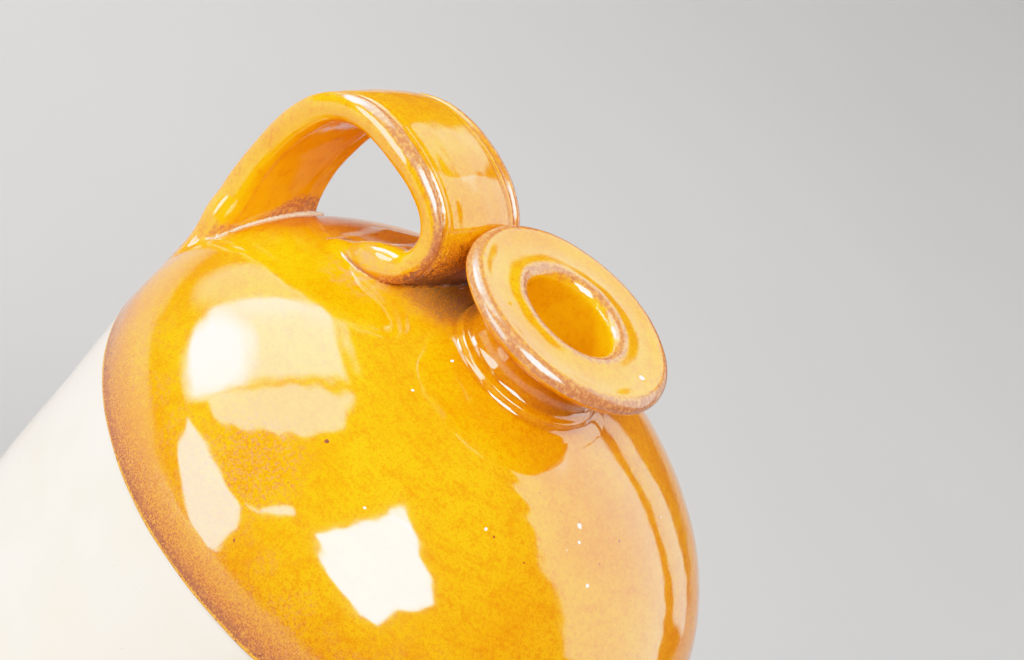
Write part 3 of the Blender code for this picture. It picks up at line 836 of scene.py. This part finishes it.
def mark_handle(obj, points, guess):
    """Say where the handle's glaze is thin, dry or cracked, where its underside gets painted light, and
    where painted shade lies along its seam.
    """
    away, across, up = points.T
    near = strap_line.nearest(away, up, guess)
    place, off = near[:2]
    distance, sideways, width = strap_distance(near, across)
    half = width / 2.0
    groove = groove_place(half)
    reach = np.abs(sideways)
    on_strap = fade(0.0006, 0.0020, distance)
    crest_place = strap_line.place[strap_line.points[:, 1].argmax()]
    past_crest = ease(crest_place + 0.004, crest_place + 0.030, place)
    outer = ease(0.0014, 0.0030, off)
    outer_along = outer * ease(0.025, 0.037, place) * (1.0 - 0.7 * past_crest)
    bead = ease(half - 0.0042, half - 0.0026, reach) * outer_along
    lines = (bump(reach, groove, 0.0005) + 0.6 * bump(sideways, groove - DRAWN_LINE, 0.0004)) * outer_along
    under = ease(0.0, 0.0026, -off)
    far = ease(-0.5, 0.5, sideways / half)
    corner = strap_line.length - 0.0095 - 0.0080 * far
    root = ease(corner - 0.0030 - 0.0045 * far, corner, place) * under * (0.55 + 0.10 * far)
    heel = 0.85 * bump(place, 0.0265, 0.0050) + 0.40 * bump(place, 0.0340, 0.0060)
    # painted shade: a dark contact line where the strap meets the shoulder
    seam_shade = fade(0.0004, 0.0013, np.abs(distance) + np.abs(dome_distance(*to_jar(away, across, up))))
    seam_shade *= fade(0.027, 0.037, place) * (1.0 - ease(-0.30, -0.05, sideways / width) * (off < 0.0))
    store(obj, "thin", np.maximum(0.75 * bead, root) * on_strap)
    # painted light: a lighter amber on the strap's underside, under the arch
    store(obj, "inner", 0.9 * under * on_strap * ease(0.015, 0.027, place))
    store(obj, "dry", heel * ease(0.0016, 0.0034, off) * on_strap)
    store(obj, "seam_shade", np.maximum(seam_shade, 0.75 * lines * on_strap))


def make_slip():
    """The pale slip pressed into the corner under the strap's outer root."""
    line = strap_line
    outer_end = slice(int(0.7 * len(line.points)), None)
    points, normals = line.points[outer_end], line.normals[outer_end]
    under = points - normals * (line.thickness[outer_end] / 2.0)[:, None]
    span = STRAP_WIDTH_ROOT / 2.0 + SLIP_OVERHANG
    turns = np.linspace(0.0, TURN, SLIP_SIDES, endpoint=False)
    rings = []
    for sideways in np.linspace(-span, span, SLIP_RINGS):
        across = line.offset[outer_end] + sideways
        cross = int(np.argmax(dome_distance(*to_jar(under[:, 0], across, under[:, 1])) < 0.0))
        bisector = np.array(SLIP_UPRIGHT) - normals[cross]
        center = under[cross] + bisector / np.hypot(*bisector) * SLIP_STAND_OFF
        ends = math.sqrt(max(1.0 - (sideways / span) ** 6, 0.0))
        swell = 0.70 + 0.60 * ease(-0.6, 0.8, sideways / span)
        uneven = 1.0 + 0.05 * float(ripple(np.array([center[0], across[cross], center[1]]), 0.009, 51))
        radius = SLIP_RADIUS * swell * ends * uneven + SLIP_THINNEST
        rings.append([center[0] + radius * np.cos(turns), np.full(SLIP_SIDES, across[cross]),
                      center[1] + radius * np.sin(turns)])
    away, across, up = np.array(rings).transpose(1, 0, 2).reshape(3, -1)
    here, below, below_beside, beside = grid_faces(SLIP_RINGS, SLIP_SIDES, False)
    faces = np.stack([here, beside, below_beside, below], axis=-1).reshape(-1, 4)
    obj = new_mesh("slip_line", np.column_stack(to_jar(away, across, up)), faces)

    def close(shape):
        shape.edges.ensure_lookup_table()
        bmesh.ops.holes_fill(shape, edges=[edge for edge in shape.edges if edge.is_boundary])
        bmesh.ops.recalc_face_normals(shape, faces=shape.faces)

    mended(obj, close)
    obj.data.shade_smooth()
    return obj


# Materials

class Tone:
    """A number or colour that varies over a surface. Arithmetic on it adds nodes to its glaze."""

    def __init__(self, glaze, socket):
        self.glaze = glaze
        self.socket = socket

    def __add__(self, other):
        return self.glaze.math("ADD", self, other)

    def __radd__(self, other):
        return self.glaze.math("ADD", other, self)

    def __sub__(self, other):
        return self.glaze.math("SUBTRACT", self, other)

    def __rsub__(self, other):
        return self.glaze.math("SUBTRACT", other, self)

    def __mul__(self, other):
        return self.glaze.math("MULTIPLY", self, other)

    def most(self, other):
        return self.glaze.math("MAXIMUM", self, other)

    def ramp(self, low, high):
        """0 at low, 1 at high, and a smooth step between, whichever of the two is greater."""
        return self.glaze.node("ShaderNodeMapRange", {0: self, 1: low, 2: high, 3: 0.0, 4: 1.0},
                               interpolation_type="SMOOTHSTEP")

    def output(self, name):
        """Another output of the node that made this."""
        return Tone(self.glaze, self.socket.node.outputs[name])


class Glaze:
    """A material, whose color is built up coat by coat. What a method adds, it returns as a Tone."""

    def __init__(self, name, color, **shader_values):
        self.material = bpy.data.materials.new(name)
        self.material.use_nodes = True
        self.tree = self.material.node_tree
        self.shader = self.tree.nodes["Principled BSDF"]
        for key, value in shader_values.items():
            self.shader.inputs[key].default_value = value
        self.color = color
        self.place = self.node("ShaderNodeTexCoord", output="Object")

    def set(self, socket, value):
        if isinstance(value, Tone):
            self.tree.links.new(value.socket, socket)
        elif socket.type == "RGBA":
            socket.default_value = (*value, 1.0)
        else:
            socket.default_value = value

    def node(self, kind, inputs=(), output=0, **settings):
        node = self.tree.nodes.new(kind)
        for key, value in settings.items():
            setattr(node, key, value)
        for key, value in dict(inputs).items():
            self.set(node.inputs[key], value)
        return Tone(self, node.outputs[output])

    def math(self, kind, first, second=0.0):
        return self.node("ShaderNodeMath", {0: first, 1: second}, operation=kind)

    def vector(self, kind, first, second=(0.0, 0.0, 0.0), output="Vector"):
        return self.node("ShaderNodeVectorMath", {0: first, 1: second}, output, operation=kind)

    def noise(self, size, detail, roughness, place=None):
        """Cloudy noise with features of about this size in metres."""
        return self.node("ShaderNodeTexNoise", {
            "Vector": place or self.place, "Scale": 1.0 / size, "Detail": detail, "Roughness": roughness})

    def attribute(self, name):
        return self.node("ShaderNodeAttribute", output="Fac", attribute_name=name)

    def parts(self):
        """How far right, back and up each point lies."""
        right = self.node("ShaderNodeSeparateXYZ", {0: self.place})
        return right, right.output(1), right.output(2)

    def mix(self, share, first, second):
        return self.node("ShaderNodeMix", {0: share, 6: first, 7: second}, 2, data_type="RGBA")

    def coat(self, share, tint):
        """Lay a tint over the colour, as strongly as share says."""
        self.color = self.mix(share, self.color, tint)

    def near(self, spot, reach, core):
        """1 close to a point of the glaze, falling off with a ragged edge to 0 at its reach."""
        gap = self.vector("DISTANCE", self.place, spot, "Value")
        return (gap + (self.noise(0.0050, 3.0, 0.6) - 0.5) * (0.5 * reach)).ramp(reach, core)

    def bumped(self, height, depth):
        """Stand the shader's normal on a height field that is this deep in metres."""
        bump_node = self.node("ShaderNodeBump", {"Height": height, "Distance": depth, "Strength": 1.0})
        self.set(self.shader.inputs["Normal"], bump_node)

    def finish(self, roughness=None):
        self.set(self.shader.inputs["Base Color"], self.color)
        if roughness is not None:
            self.set(self.shader.inputs["Roughness"], roughness)
        return self.material


AMBER = (0.670, 0.207, 0.0007)
AMBER_LIGHT = (0.715, 0.248, 0.0020)
AMBER_DEEP = (0.500, 0.122, 0.0006)
AMBER_POOL_AND_SHADE = (0.260, 0.058, 0.0006)
SPECK = (0.300, 0.078, 0.0060)
# deep amber of pooled glaze, also used as painted shade under the flange
BAND = (0.350, 0.098, 0.0100)
BREAK = (0.520, 0.205, 0.0820)
BREAK_DARK = (0.270, 0.098, 0.0480)
DRY = (0.215, 0.055, 0.0080)
# lighter amber painted as light on shaded inner faces
INNER_PAINTED_LIGHT = (0.780, 0.282, 0.0015)
# grey-brown of a smudge and of its painted contact shadow
SMUDGE_AND_SHADE = (0.270, 0.135, 0.0420)
# very dark brown of scorched glaze, also used as painted shade in the contact seam
SCORCH_AND_SHADE = (0.090, 0.020, 0.0030)
PIT_PALE = (0.850, 0.800, 0.7200)
PIT_DARK = (0.120, 0.045, 0.0200)
CREAM = (0.680, 0.575, 0.4700)
CREAM_WARM = (0.640, 0.525, 0.4050)
CLAY = (0.560, 0.430, 0.2900)
CLAY_DARK = (0.360, 0.250, 0.1550)
CLAY_MARBLED = (0.640, 0.540, 0.410)
SLIP = (0.640, 0.440, 0.3000)
STUDIO_FLOOR = (0.335, 0.330, 0.325)
STUDIO_FLOOR_DARK = (0.318, 0.314, 0.310)

SMUDGE_AND_SHADE_PLACE = (-0.0270, -0.0085, float(dome_height(0.0283)))
# centre of the painted light on the shoulder under the handle's arch
ARCH_PAINTED_LIGHT_PLACE = (-0.0580, -0.0130, float(dome_height(0.0594)))
TAIL_PLACE = (-0.0450, -0.0200, float(dome_height(0.0492)))
FLECK_PLACE = (-0.0150, -0.0795, float(dome_height(0.0809)))

SPOTS = (
    # azimuth in degrees, distance from the axis, size, colour
    (-20.3, 0.0473, 0.00085, PIT_PALE), (-21.3, 0.0513, 0.00060, PIT_PALE),
    (-26.2, 0.0539, 0.00040, PIT_PALE), (-19.6, 0.0614, 0.00065, PIT_PALE),
    (-53.0, 0.0565, 0.00045, PIT_PALE), (25.6, 0.0547, 0.00045, PIT_PALE),
    (-110.0, 0.0257, 0.00055, PIT_PALE), (-99.0, 0.0412, 0.00040, PIT_PALE),
    (-79.1, 0.0700, 0.00060, PIT_PALE), (-95.7, 0.0669, 0.00080, PIT_DARK),
    (-3.2, 0.0518, 0.00050, PIT_DARK), (-29.8, 0.0521, 0.00040, PIT_DARK),
    (-14.3, 0.0563, 0.00055, DRY), (-50.2, 0.0573, 0.00045, DRY), (-40.6, 0.0250, 0.00040, PIT_DARK),
    (-37.4, 0.0412, 0.00035, DRY), (-92.7, 0.0779, 0.00045, DRY), (-90.5, 0.0889, 0.00050, PIT_DARK),
    (-40.2, 0.0598, 0.00040, DRY), (-147.2, 0.0387, 0.00045, DRY), (150.0, 0.0610, 0.00070, PIT_DARK),
    (95.0, 0.0550, 0.00060, PIT_PALE), (60.0, 0.0720, 0.00050, DRY), (120.0, 0.0760, 0.00060, PIT_PALE),
)
SPOT_WARP = 0.0007                # the spots' outlines are ragged by half of this
SPOT_WARP_SCALE = 1400.0
CRACK_SCALE = 230.0
CREAM_SPECK_SIZE = 0.0042
CREAM_SPECK_SHARE = 0.30

DIP_BANDS = (
    # top and bottom of the fade above the dip line, strength, colour
    (0.0140, 0.0030, 0.45, SPECK), (0.0050, 0.0021, 0.65, BAND), (0.0024, 0.0011, 0.90, DRY),
)


def dip_band(glaze, height, mottle, grain):
    """The glaze over the dip line: brown where two coats meet, with a bright line at its very edge."""
    wander = height + (mottle - 0.5) * 0.010
    wander = wander + (grain - 0.5) * 0.006
    for top, bottom, strength, tint in DIP_BANDS:
        glaze.coat(wander.ramp(WALL_HEIGHT + top, WALL_HEIGHT + bottom) * strength, tint)
    glaze.coat(height.ramp(WALL_HEIGHT + 0.0006, WALL_HEIGHT - 0.0001) * 0.9, AMBER_LIGHT)


def pits(glaze):
    """The pits, blebs and burst bubbles that are large enough to be seen one by one."""
    noise = glaze.node("ShaderNodeTexNoise", {"Vector": glaze.place, "Scale": SPOT_WARP_SCALE}, "Color")
    warp = glaze.vector("MULTIPLY", noise, (SPOT_WARP,) * 3)
    place = glaze.vector("ADD", glaze.place, warp)
    for azimuth, radius, size, tint in SPOTS:
        angle = math.radians(azimuth)
        spot = (radius * math.cos(angle), radius * math.sin(angle), float(dome_height(radius)))
        gap = glaze.vector("DISTANCE", place, [value + SPOT_WARP / 2.0 for value in spot], "Value")
        glaze.coat(gap.ramp(size, size * 0.75), tint)


def body_of_glaze(glaze, mottle, grain, fine):
    """The honey colour, clouded and mottled, with streaks that follow the wheel."""
    clouds = glaze.noise(0.034, 2.0, 0.5)
    x, y, z = glaze.parts()
    climb = z - glaze.math("SQRT", x * x + y * y)
    round_jar = glaze.node("ShaderNodeCombineXYZ", {0: climb, 1: x * 0.20, 2: y * 0.20})
    streaks = glaze.noise(0.0032, 3.0, 0.6, round_jar)
    glaze.coat(clouds.ramp(0.40, 0.66), AMBER_LIGHT)
    for tone, start, end, strength, tint in (
            (clouds, 0.48, 0.30, 0.45, AMBER_DEEP), (streaks, 0.48, 0.70, 0.35, AMBER_DEEP),
            (mottle, 0.47, 0.66, 0.45, AMBER_DEEP), (grain, 0.48, 0.66, 0.55, AMBER_DEEP),
            (grain, 0.48, 0.32, 0.38, AMBER_LIGHT), (fine, 0.50, 0.68, 0.45, AMBER_DEEP),
            (fine, 0.46, 0.34, 0.35, AMBER_LIGHT)):
        glaze.coat(tone.ramp(start, end) * strength, tint)


def flank(glaze, mottle, grain, fine):
    """Specks and flecks, which crowd towards the dip line, and the brown band over it."""
    z = glaze.parts()[2]
    low = z.ramp(0.232, WALL_HEIGHT + 0.004)
    specks = glaze.noise(0.00075, 2.0, 0.6)
    crowd = low * glaze.noise(0.0075, 2.0, 0.5).ramp(0.40, 0.62)
    flecked = glaze.near(FLECK_PLACE, 0.0190, 0.0060)
    speckled = (specks - (0.690 - crowd.most(flecked) * 0.15)).ramp(0.0, 0.03)
    glaze.coat(speckled * (0.40 + low * 0.45), SPECK)
    glaze.coat((crowd * 0.40).most(flecked * 0.30) * grain.ramp(0.48, 0.60), BREAK)
    glaze.coat(flecked * 0.70 * (fine.ramp(0.53, 0.62) * grain.ramp(0.46, 0.56)), BREAK_DARK)
    lower = z.ramp(0.226, WALL_HEIGHT + 0.002)
    glaze.coat(lower * 0.35, AMBER_DEEP)
    glaze.coat(lower * (fine.ramp(0.46, 0.66) * 0.65), SPECK)
    dip_band(glaze, z, mottle, grain)
    low_edge = z.ramp(WALL_HEIGHT + 0.014, WALL_HEIGHT + 0.002)
    glaze.coat(low_edge * fine.ramp(0.44, 0.62) * 0.65, DRY)
    burnt = z.ramp(WALL_HEIGHT + 0.0060, WALL_HEIGHT + 0.0010)
    glaze.coat(burnt * (fine.ramp(0.50, 0.60) * mottle.ramp(0.44, 0.58)) * 0.70, SCORCH_AND_SHADE)
    glaze.coat(low_edge * fine.ramp(0.42, 0.34) * 0.55, AMBER_LIGHT)


def painted_light_and_tail_smear(glaze, mottle):
    """Painted light inside the bore, on the strap's underside and under the arch, and smeared at the
    strap's tail.
    """
    radius = glaze.vector("LENGTH", glaze.vector("MULTIPLY", glaze.place, (1.0, 1.0, 0.0)), output="Value")
    # painted light inside the bore
    bore_painted_light = radius.ramp(BORE_RADIUS + 0.0012, BORE_RADIUS + 0.0002)
    inner = glaze.attribute("inner").most(bore_painted_light * 0.70)
    inner = inner.most(glaze.near(ARCH_PAINTED_LIGHT_PLACE, 0.0260, 0.0080) * 0.50)
    glaze.coat(inner * mottle.ramp(0.95, 0.35), INNER_PAINTED_LIGHT)
    glaze.coat(glaze.near(TAIL_PLACE, 0.0125, 0.0040) * mottle.ramp(0.42, 0.58) * 0.55, BREAK)


def broken_edges(glaze, grain, fine):
    """Deep where the glaze pools in hollows, with painted shade under the flange, broken to purple-brown
    on the edges, and a smudge with painted shade beside the strap's heel. Returns where it broke.
    """
    # deep amber for pooled glaze and for painted shade under the flange
    glaze.coat(glaze.attribute("pool_and_shade") * 0.85, AMBER_POOL_AND_SHADE)
    thin = glaze.attribute("thin")
    broken = (thin + (grain - 0.5) * 0.9).ramp(0.22, 0.75) * thin.ramp(0.05, 0.30)
    glaze.coat(broken * 0.85, glaze.mix(grain.ramp(0.34, 0.56), BREAK, BREAK_DARK))
    # a grey-brown smudge beside the strap's heel, darkest next to it as painted contact shadow
    glaze.coat(glaze.near(SMUDGE_AND_SHADE_PLACE, 0.0140, 0.0050) * fine.ramp(0.34, 0.56) * 0.80, SMUDGE_AND_SHADE)
    return broken


def kiln_marks(glaze, mottle, grain, fine):
    """Dry and cracked on the heel, with painted shade along the strap's contact seam and dark lines in its
    grooves. Returns where the glaze is dull.
    """
    dry = glaze.attribute("dry")
    glaze.coat(dry.ramp(0.0, 0.60) * fine.ramp(0.36, 0.60), DRY)
    glaze.coat(dry.ramp(0.62, 1.0) * grain.ramp(0.36, 0.56), SCORCH_AND_SHADE)
    cracks = glaze.node("ShaderNodeTexVoronoi", {"Vector": glaze.place, "Scale": CRACK_SCALE},
                        feature="DISTANCE_TO_EDGE").output("Distance")
    cracks = cracks.ramp(0.035, 0.012) * mottle.ramp(0.50, 0.56)
    glaze.coat(cracks * dry.ramp(0.15, 0.40), SCORCH_AND_SHADE)
    # painted shade along the contact seam, together with the dark groove lines
    seam_shade = glaze.attribute("seam_shade")
    glaze.coat(seam_shade * 0.85, SCORCH_AND_SHADE)
    return dry.most(seam_shade)


def amber_material():
    glaze = Glaze("amber_glaze", AMBER, IOR=1.70)
    mottle = glaze.noise(0.0040, 4.0, 0.68)
    grain = glaze.noise(0.0011, 3.0, 0.65)
    fine = glaze.noise(0.00050, 2.0, 0.55)
    body_of_glaze(glaze, mottle, grain, fine)
    flank(glaze, mottle, grain, fine)
    painted_light_and_tail_smear(glaze, mottle)
    broken = broken_edges(glaze, grain, fine)
    dull = kiln_marks(glaze, mottle, grain, fine)
    pits(glaze)
    glaze.coat(glaze.attribute("chip"), PIT_PALE)
    glaze.bumped(glaze.noise(0.0026, 1.0, 0.4) + grain * 0.10, 0.000010)
    return glaze.finish(0.065 + dull * 0.45 + broken * 0.12)


def cream_material():
    glaze = Glaze("cream_glaze", CREAM, IOR=1.52, Roughness=0.10)
    glaze.coat(glaze.noise(0.030, 3.0, 0.55).ramp(0.35, 0.70), CREAM_WARM)
    glaze.coat(glaze.noise(0.0011, 2.0, 0.55).ramp(0.52, 0.74) * 0.35, CREAM_WARM)
    specks = glaze.node("ShaderNodeTexVoronoi", {"Vector": glaze.place, "Scale": 1.0 / CREAM_SPECK_SIZE})
    pick = glaze.node("ShaderNodeSeparateColor", {0: specks.output("Color")})
    chosen = glaze.math("LESS_THAN", pick, CREAM_SPECK_SHARE)
    glaze.coat(specks.ramp(0.07, 0.04) * chosen * 0.7, CLAY_DARK)
    bare = glaze.attribute("bare")
    clay = glaze.mix(glaze.noise(0.0016, 4.0, 0.65).ramp(0.35, 0.65), CLAY, CLAY_DARK)
    glaze.coat(bare, clay)
    sand = glaze.noise(0.0007, 2.0, 0.6) * (0.06 + bare)
    glaze.bumped(sand + glaze.noise(0.0030, 1.0, 0.4) * 0.10, 0.00008)
    return glaze.finish(0.09 + bare * 0.65)


def clay_material():
    glaze = Glaze("bare_clay", CLAY, IOR=1.45, Roughness=0.82)
    sand = glaze.noise(0.0008, 4.0, 0.65)
    glaze.coat(sand.ramp(0.35, 0.65), CLAY_DARK)
    glaze.coat(glaze.noise(0.014, 3.0, 0.6).ramp(0.4, 0.7) * 0.5, CLAY_MARBLED)
    glaze.bumped(sand, 0.00018)
    return glaze.finish()


def slip_material():
    glaze = Glaze("pale_slip", SLIP, IOR=1.50, Roughness=0.22)
    grain = glaze.noise(0.0012, 3.0, 0.6)
    glaze.coat(grain.ramp(0.40, 0.70) * 0.5, BREAK)
    glaze.bumped(grain, 0.00002)
    return glaze.finish()


def studio_floor_material():
    glaze = Glaze("studio_floor", STUDIO_FLOOR, Roughness=0.85)
    glaze.coat(glaze.noise(0.30, 3.0, 0.5).ramp(0.3, 0.7), STUDIO_FLOOR_DARK)
    return glaze.finish()


# Studio

STUDIO_CENTER = Vector((0.0, 0.0, 0.235))
WORLD_COLOR = (1.0, 0.98, 0.96, 1.0)
WORLD_STRENGTH = 0.07
VIEW_AIM = Vector((-0.0066, -0.0095, 0.2674))
VIEW_WAY = (-73.50, 30.085)       # azimuth and elevation in degrees
VIEW_ROLL = math.radians(41.78)
VIEW_DISTANCE = 1.1216
VIEW_LENS = 151.055
SENSOR_WIDTH = 36.0
WHITE_LEVEL = 3.0
SHOWN = ((0.25, 0.25), (0.45, 0.45), (0.70, 0.65), (1.00, 0.80), (1.50, 0.935), (2.20, 0.985))

WINDOW = (-62.4, 56.5)
LEFT = (178.0, 32.0)
GLINT = (-106.0, 34.0)
LIGHTS = (
    # name, azimuth and elevation, distance, radiance, softness, corners in millimetres
    ("window_light", WINDOW, 1.30, 18.0, 0.03, (
        (-470, -229), (-241, -543), (13, -708), (196, -688), (232, -358), (58, 376), (-115, 361))),
    ("window_side_light", WINDOW, 1.29, 18.0, 0.03, ((230, -355), (430, -73), (356, 55), (58, 373))),
    ("window_top_light", WINDOW, 1.28, 14.0, 0.03, (
        (-125, 345), (55, 335), (45, 430), (-63, 500), (-133, 400))),
    ("left_light", LEFT, 1.50, 5.5, 0.09, (
        (-500, 20), (-220, -460), (220, -520), (720, -360), (520, 20), (380, 240), (-100, 790),
        (-340, 600), (-540, 300))),
    ("left_core_light", LEFT, 1.49, 12.0, 0.20, (
        (-160, -460), (220, -540), (740, -400), (560, 20), (340, 160), (-20, 20))),
    ("second_light", LEFT, 1.47, 4.9, 0.06, (
        (700, -160), (910, -40), (980, 300), (630, 880), (270, 1110), (-50, 900))),
    ("low_left_light", (-124.8, 8.4), 1.30, 8.5, 0.03, (
        (-670, 50), (-200, -200), (100, -500), (300, -620), (500, -360), (460, 150), (300, 340),
        (-300, 240))),
    ("right_light", (70.3, 39.7), 1.60, 2.35, 0.03, (
        (140, 750), (-1300, 50), (-800, -1450), (-280, -1220), (570, -340))),
    ("back_light", (106.0, 31.0), 1.60, 1.9, 0.10, (
        (-420, 300), (-40, -420), (80, -420), (200, -80), (240, 220), (-160, 520), (-560, 560))),
    ("glow_light", LEFT, 1.51, 1.7, 0.22, (
        (-690, -920), (-280, -740), (-160, -100), (-310, 150), (-560, 380), (-700, 180), (-800, -140),
        (-860, -640))),
    ("glint_light", GLINT, 1.50, 8.0, 0.03, (
        (-35, -130), (0, -150), (50, 50), (100, 210), (40, 250), (-30, 100))),
    ("glint_tail_light", GLINT, 1.48, 6.0, 0.012, ((-125, -225), (-20, -165), (-20, -135), (-125, -205))),
    ("streak_light", (83.6, 5.1), 1.60, 1.5, 0.03, (
        (280, 470), (30, 300), (-420, -120), (-270, -430), (70, -50), (280, 270))),
)


def facing(way):
    """The right, up and toward of what looks at the jar from an azimuth and elevation in degrees."""
    azimuth, elevation = (math.radians(angle) for angle in way)
    toward = Vector((math.cos(elevation) * math.cos(azimuth), math.cos(elevation) * math.sin(azimuth),
                     math.sin(elevation)))
    right = Vector((-toward.y, toward.x, 0.0)).normalized()
    return right, toward.cross(right), toward


def put(obj, right, up, toward, place):
    """Bring a camera or light into the scene, looking back along toward from its place."""
    bpy.context.scene.collection.objects.link(obj)
    matrix = Matrix((right, up, toward)).transposed().to_4x4()
    matrix.translation = place
    obj.matrix_world = matrix


def make_camera():
    """The photo's viewing angle, with the camera rolled as the photo has it."""
    level_right, level_up, back = facing(VIEW_WAY)
    right = level_right * math.cos(VIEW_ROLL) + level_up * math.sin(VIEW_ROLL)
    data = bpy.data.cameras.new("camera")
    data.lens = VIEW_LENS
    data.sensor_width = SENSOR_WIDTH
    data.sensor_fit = "HORIZONTAL"
    data.clip_start = 0.01
    camera = bpy.data.objects.new("camera", data)
    put(camera, right, back.cross(right), back, VIEW_AIM + back * VIEW_DISTANCE)
    bpy.context.scene.camera = camera


def soft_box(name, way, distance, radiance, soft, corners):
    """A light panel of any convex outline, facing the jar.

    Its corners are (right, up) in millimetres, as seen from behind the panel, counterclockwise.
    Each edge closes off the light beyond it over the width soft, and the panel is what all leave.
    """
    right, up, toward = facing(way)
    corners = [Vector(corner) / 1000.0 for corner in corners]
    low, high = ([limit(corner[axis] for corner in corners) for axis in (0, 1)] for limit in (min, max))
    width, height = (high[axis] - low[axis] + 2.0 * soft for axis in (0, 1))
    middle = [(high[axis] + low[axis]) / 2.0 for axis in (0, 1)]
    data = bpy.data.lights.new(name, "AREA")
    data.shape = "RECTANGLE"
    data.size = width
    data.size_y = height
    data.energy = radiance * math.pi * width * height
    data.use_nodes = True
    tree = data.node_tree

    def node(kind, operation, first, second, **settings):
        made = tree.nodes.new(kind)
        made.operation = operation
        for key, value in settings.items():
            setattr(made, key, value)
        tree.links.new(first, made.inputs[0])
        if isinstance(second, bpy.types.NodeSocket):
            tree.links.new(second, made.inputs[1])
        else:
            made.inputs[1].default_value = second
        return made.outputs

    geometry = tree.nodes.new("ShaderNodeNewGeometry")
    open_share = None
    for corner, following in zip(corners, corners[1:] + corners[:1]):
        along = (following - corner) / (following - corner).length / soft
        slope = (-along.y * width, along.x * height, 0.0)
        offset = corner - Vector(middle) + Vector((width, height)) / 2.0
        start = offset.x * along.y - offset.y * along.x
        dot = node("ShaderNodeVectorMath", "DOT_PRODUCT", geometry.outputs["Parametric"], slope)["Value"]
        share = node("ShaderNodeMath", "ADD", dot, start + 0.5, use_clamp=True)[0]
        open_share = node("ShaderNodeMath", "MULTIPLY", open_share, share)[0] if open_share else share
    tree.links.new(open_share, tree.nodes["Emission"].inputs["Strength"])
    place = STUDIO_CENTER + toward * distance + right * middle[0] + up * middle[1]
    light = bpy.data.objects.new(name, data)
    put(light, right, up, toward, place)
    light.visible_camera = False


def roll_off_highlights(view):
    """Let bright colours ease towards white one channel at a time, as the photo's camera does."""
    view.view_transform = "Standard"
    view.use_curve_mapping = True
    view.curve_mapping.white_level = (WHITE_LEVEL,) * 3
    for radiance, shown in SHOWN:
        view.curve_mapping.curves[3].points.new(radiance / WHITE_LEVEL, shown)
    view.curve_mapping.update()


def make_studio():
    world = bpy.data.worlds.new("studio")
    world.use_nodes = True
    background = world.node_tree.nodes["Background"]
    background.inputs["Color"].default_value = WORLD_COLOR
    background.inputs["Strength"].default_value = WORLD_STRENGTH
    bpy.context.scene.world = world
    roll_off_highlights(bpy.context.scene.view_settings)
    floor = bpy.data.objects.new("studio_floor", bpy.data.meshes.new("studio_floor"))
    mended(floor, lambda shape: bmesh.ops.create_grid(shape, x_segments=4, y_segments=4, size=5.0))
    bpy.context.scene.collection.objects.link(floor)
    floor.data.materials.append(studio_floor_material())
    for light in LIGHTS:
        soft_box(*light)


def dress():
    """Make every piece, give it its glaze, hide the solid it stands for, and hang it under the root body.
    """
    amber = amber_material()
    cream = cream_material()
    pieces = [
        (make_shoulder(), amber, "shoulder", "amber_glaze"),
        (make_wall(), cream, "lower_wall", "cream_glaze"),
        (make_floor(), clay_material(), "floor_disc", "bare_stoneware"),
        (make_neck(), amber, "neck_collar", "amber_glaze"),
        (make_mouth(), amber, "mouth_ring", "amber_glaze"),
        (make_handle(), amber, "strap_handle", "amber_glaze"),
        (make_slip(), slip_material(), "handle_slip", "pale_slip"),
    ]
    for piece, material, node, slot in pieces:
        piece.data.materials.append(material)
        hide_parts(node)
        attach(piece, "root")


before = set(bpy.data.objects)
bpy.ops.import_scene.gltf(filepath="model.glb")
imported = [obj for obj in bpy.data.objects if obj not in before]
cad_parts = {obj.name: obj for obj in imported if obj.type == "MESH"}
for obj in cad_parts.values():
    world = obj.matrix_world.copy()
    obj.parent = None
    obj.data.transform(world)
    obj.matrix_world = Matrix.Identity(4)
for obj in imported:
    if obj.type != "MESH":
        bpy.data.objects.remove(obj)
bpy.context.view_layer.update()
make_camera()
make_studio()
dress()
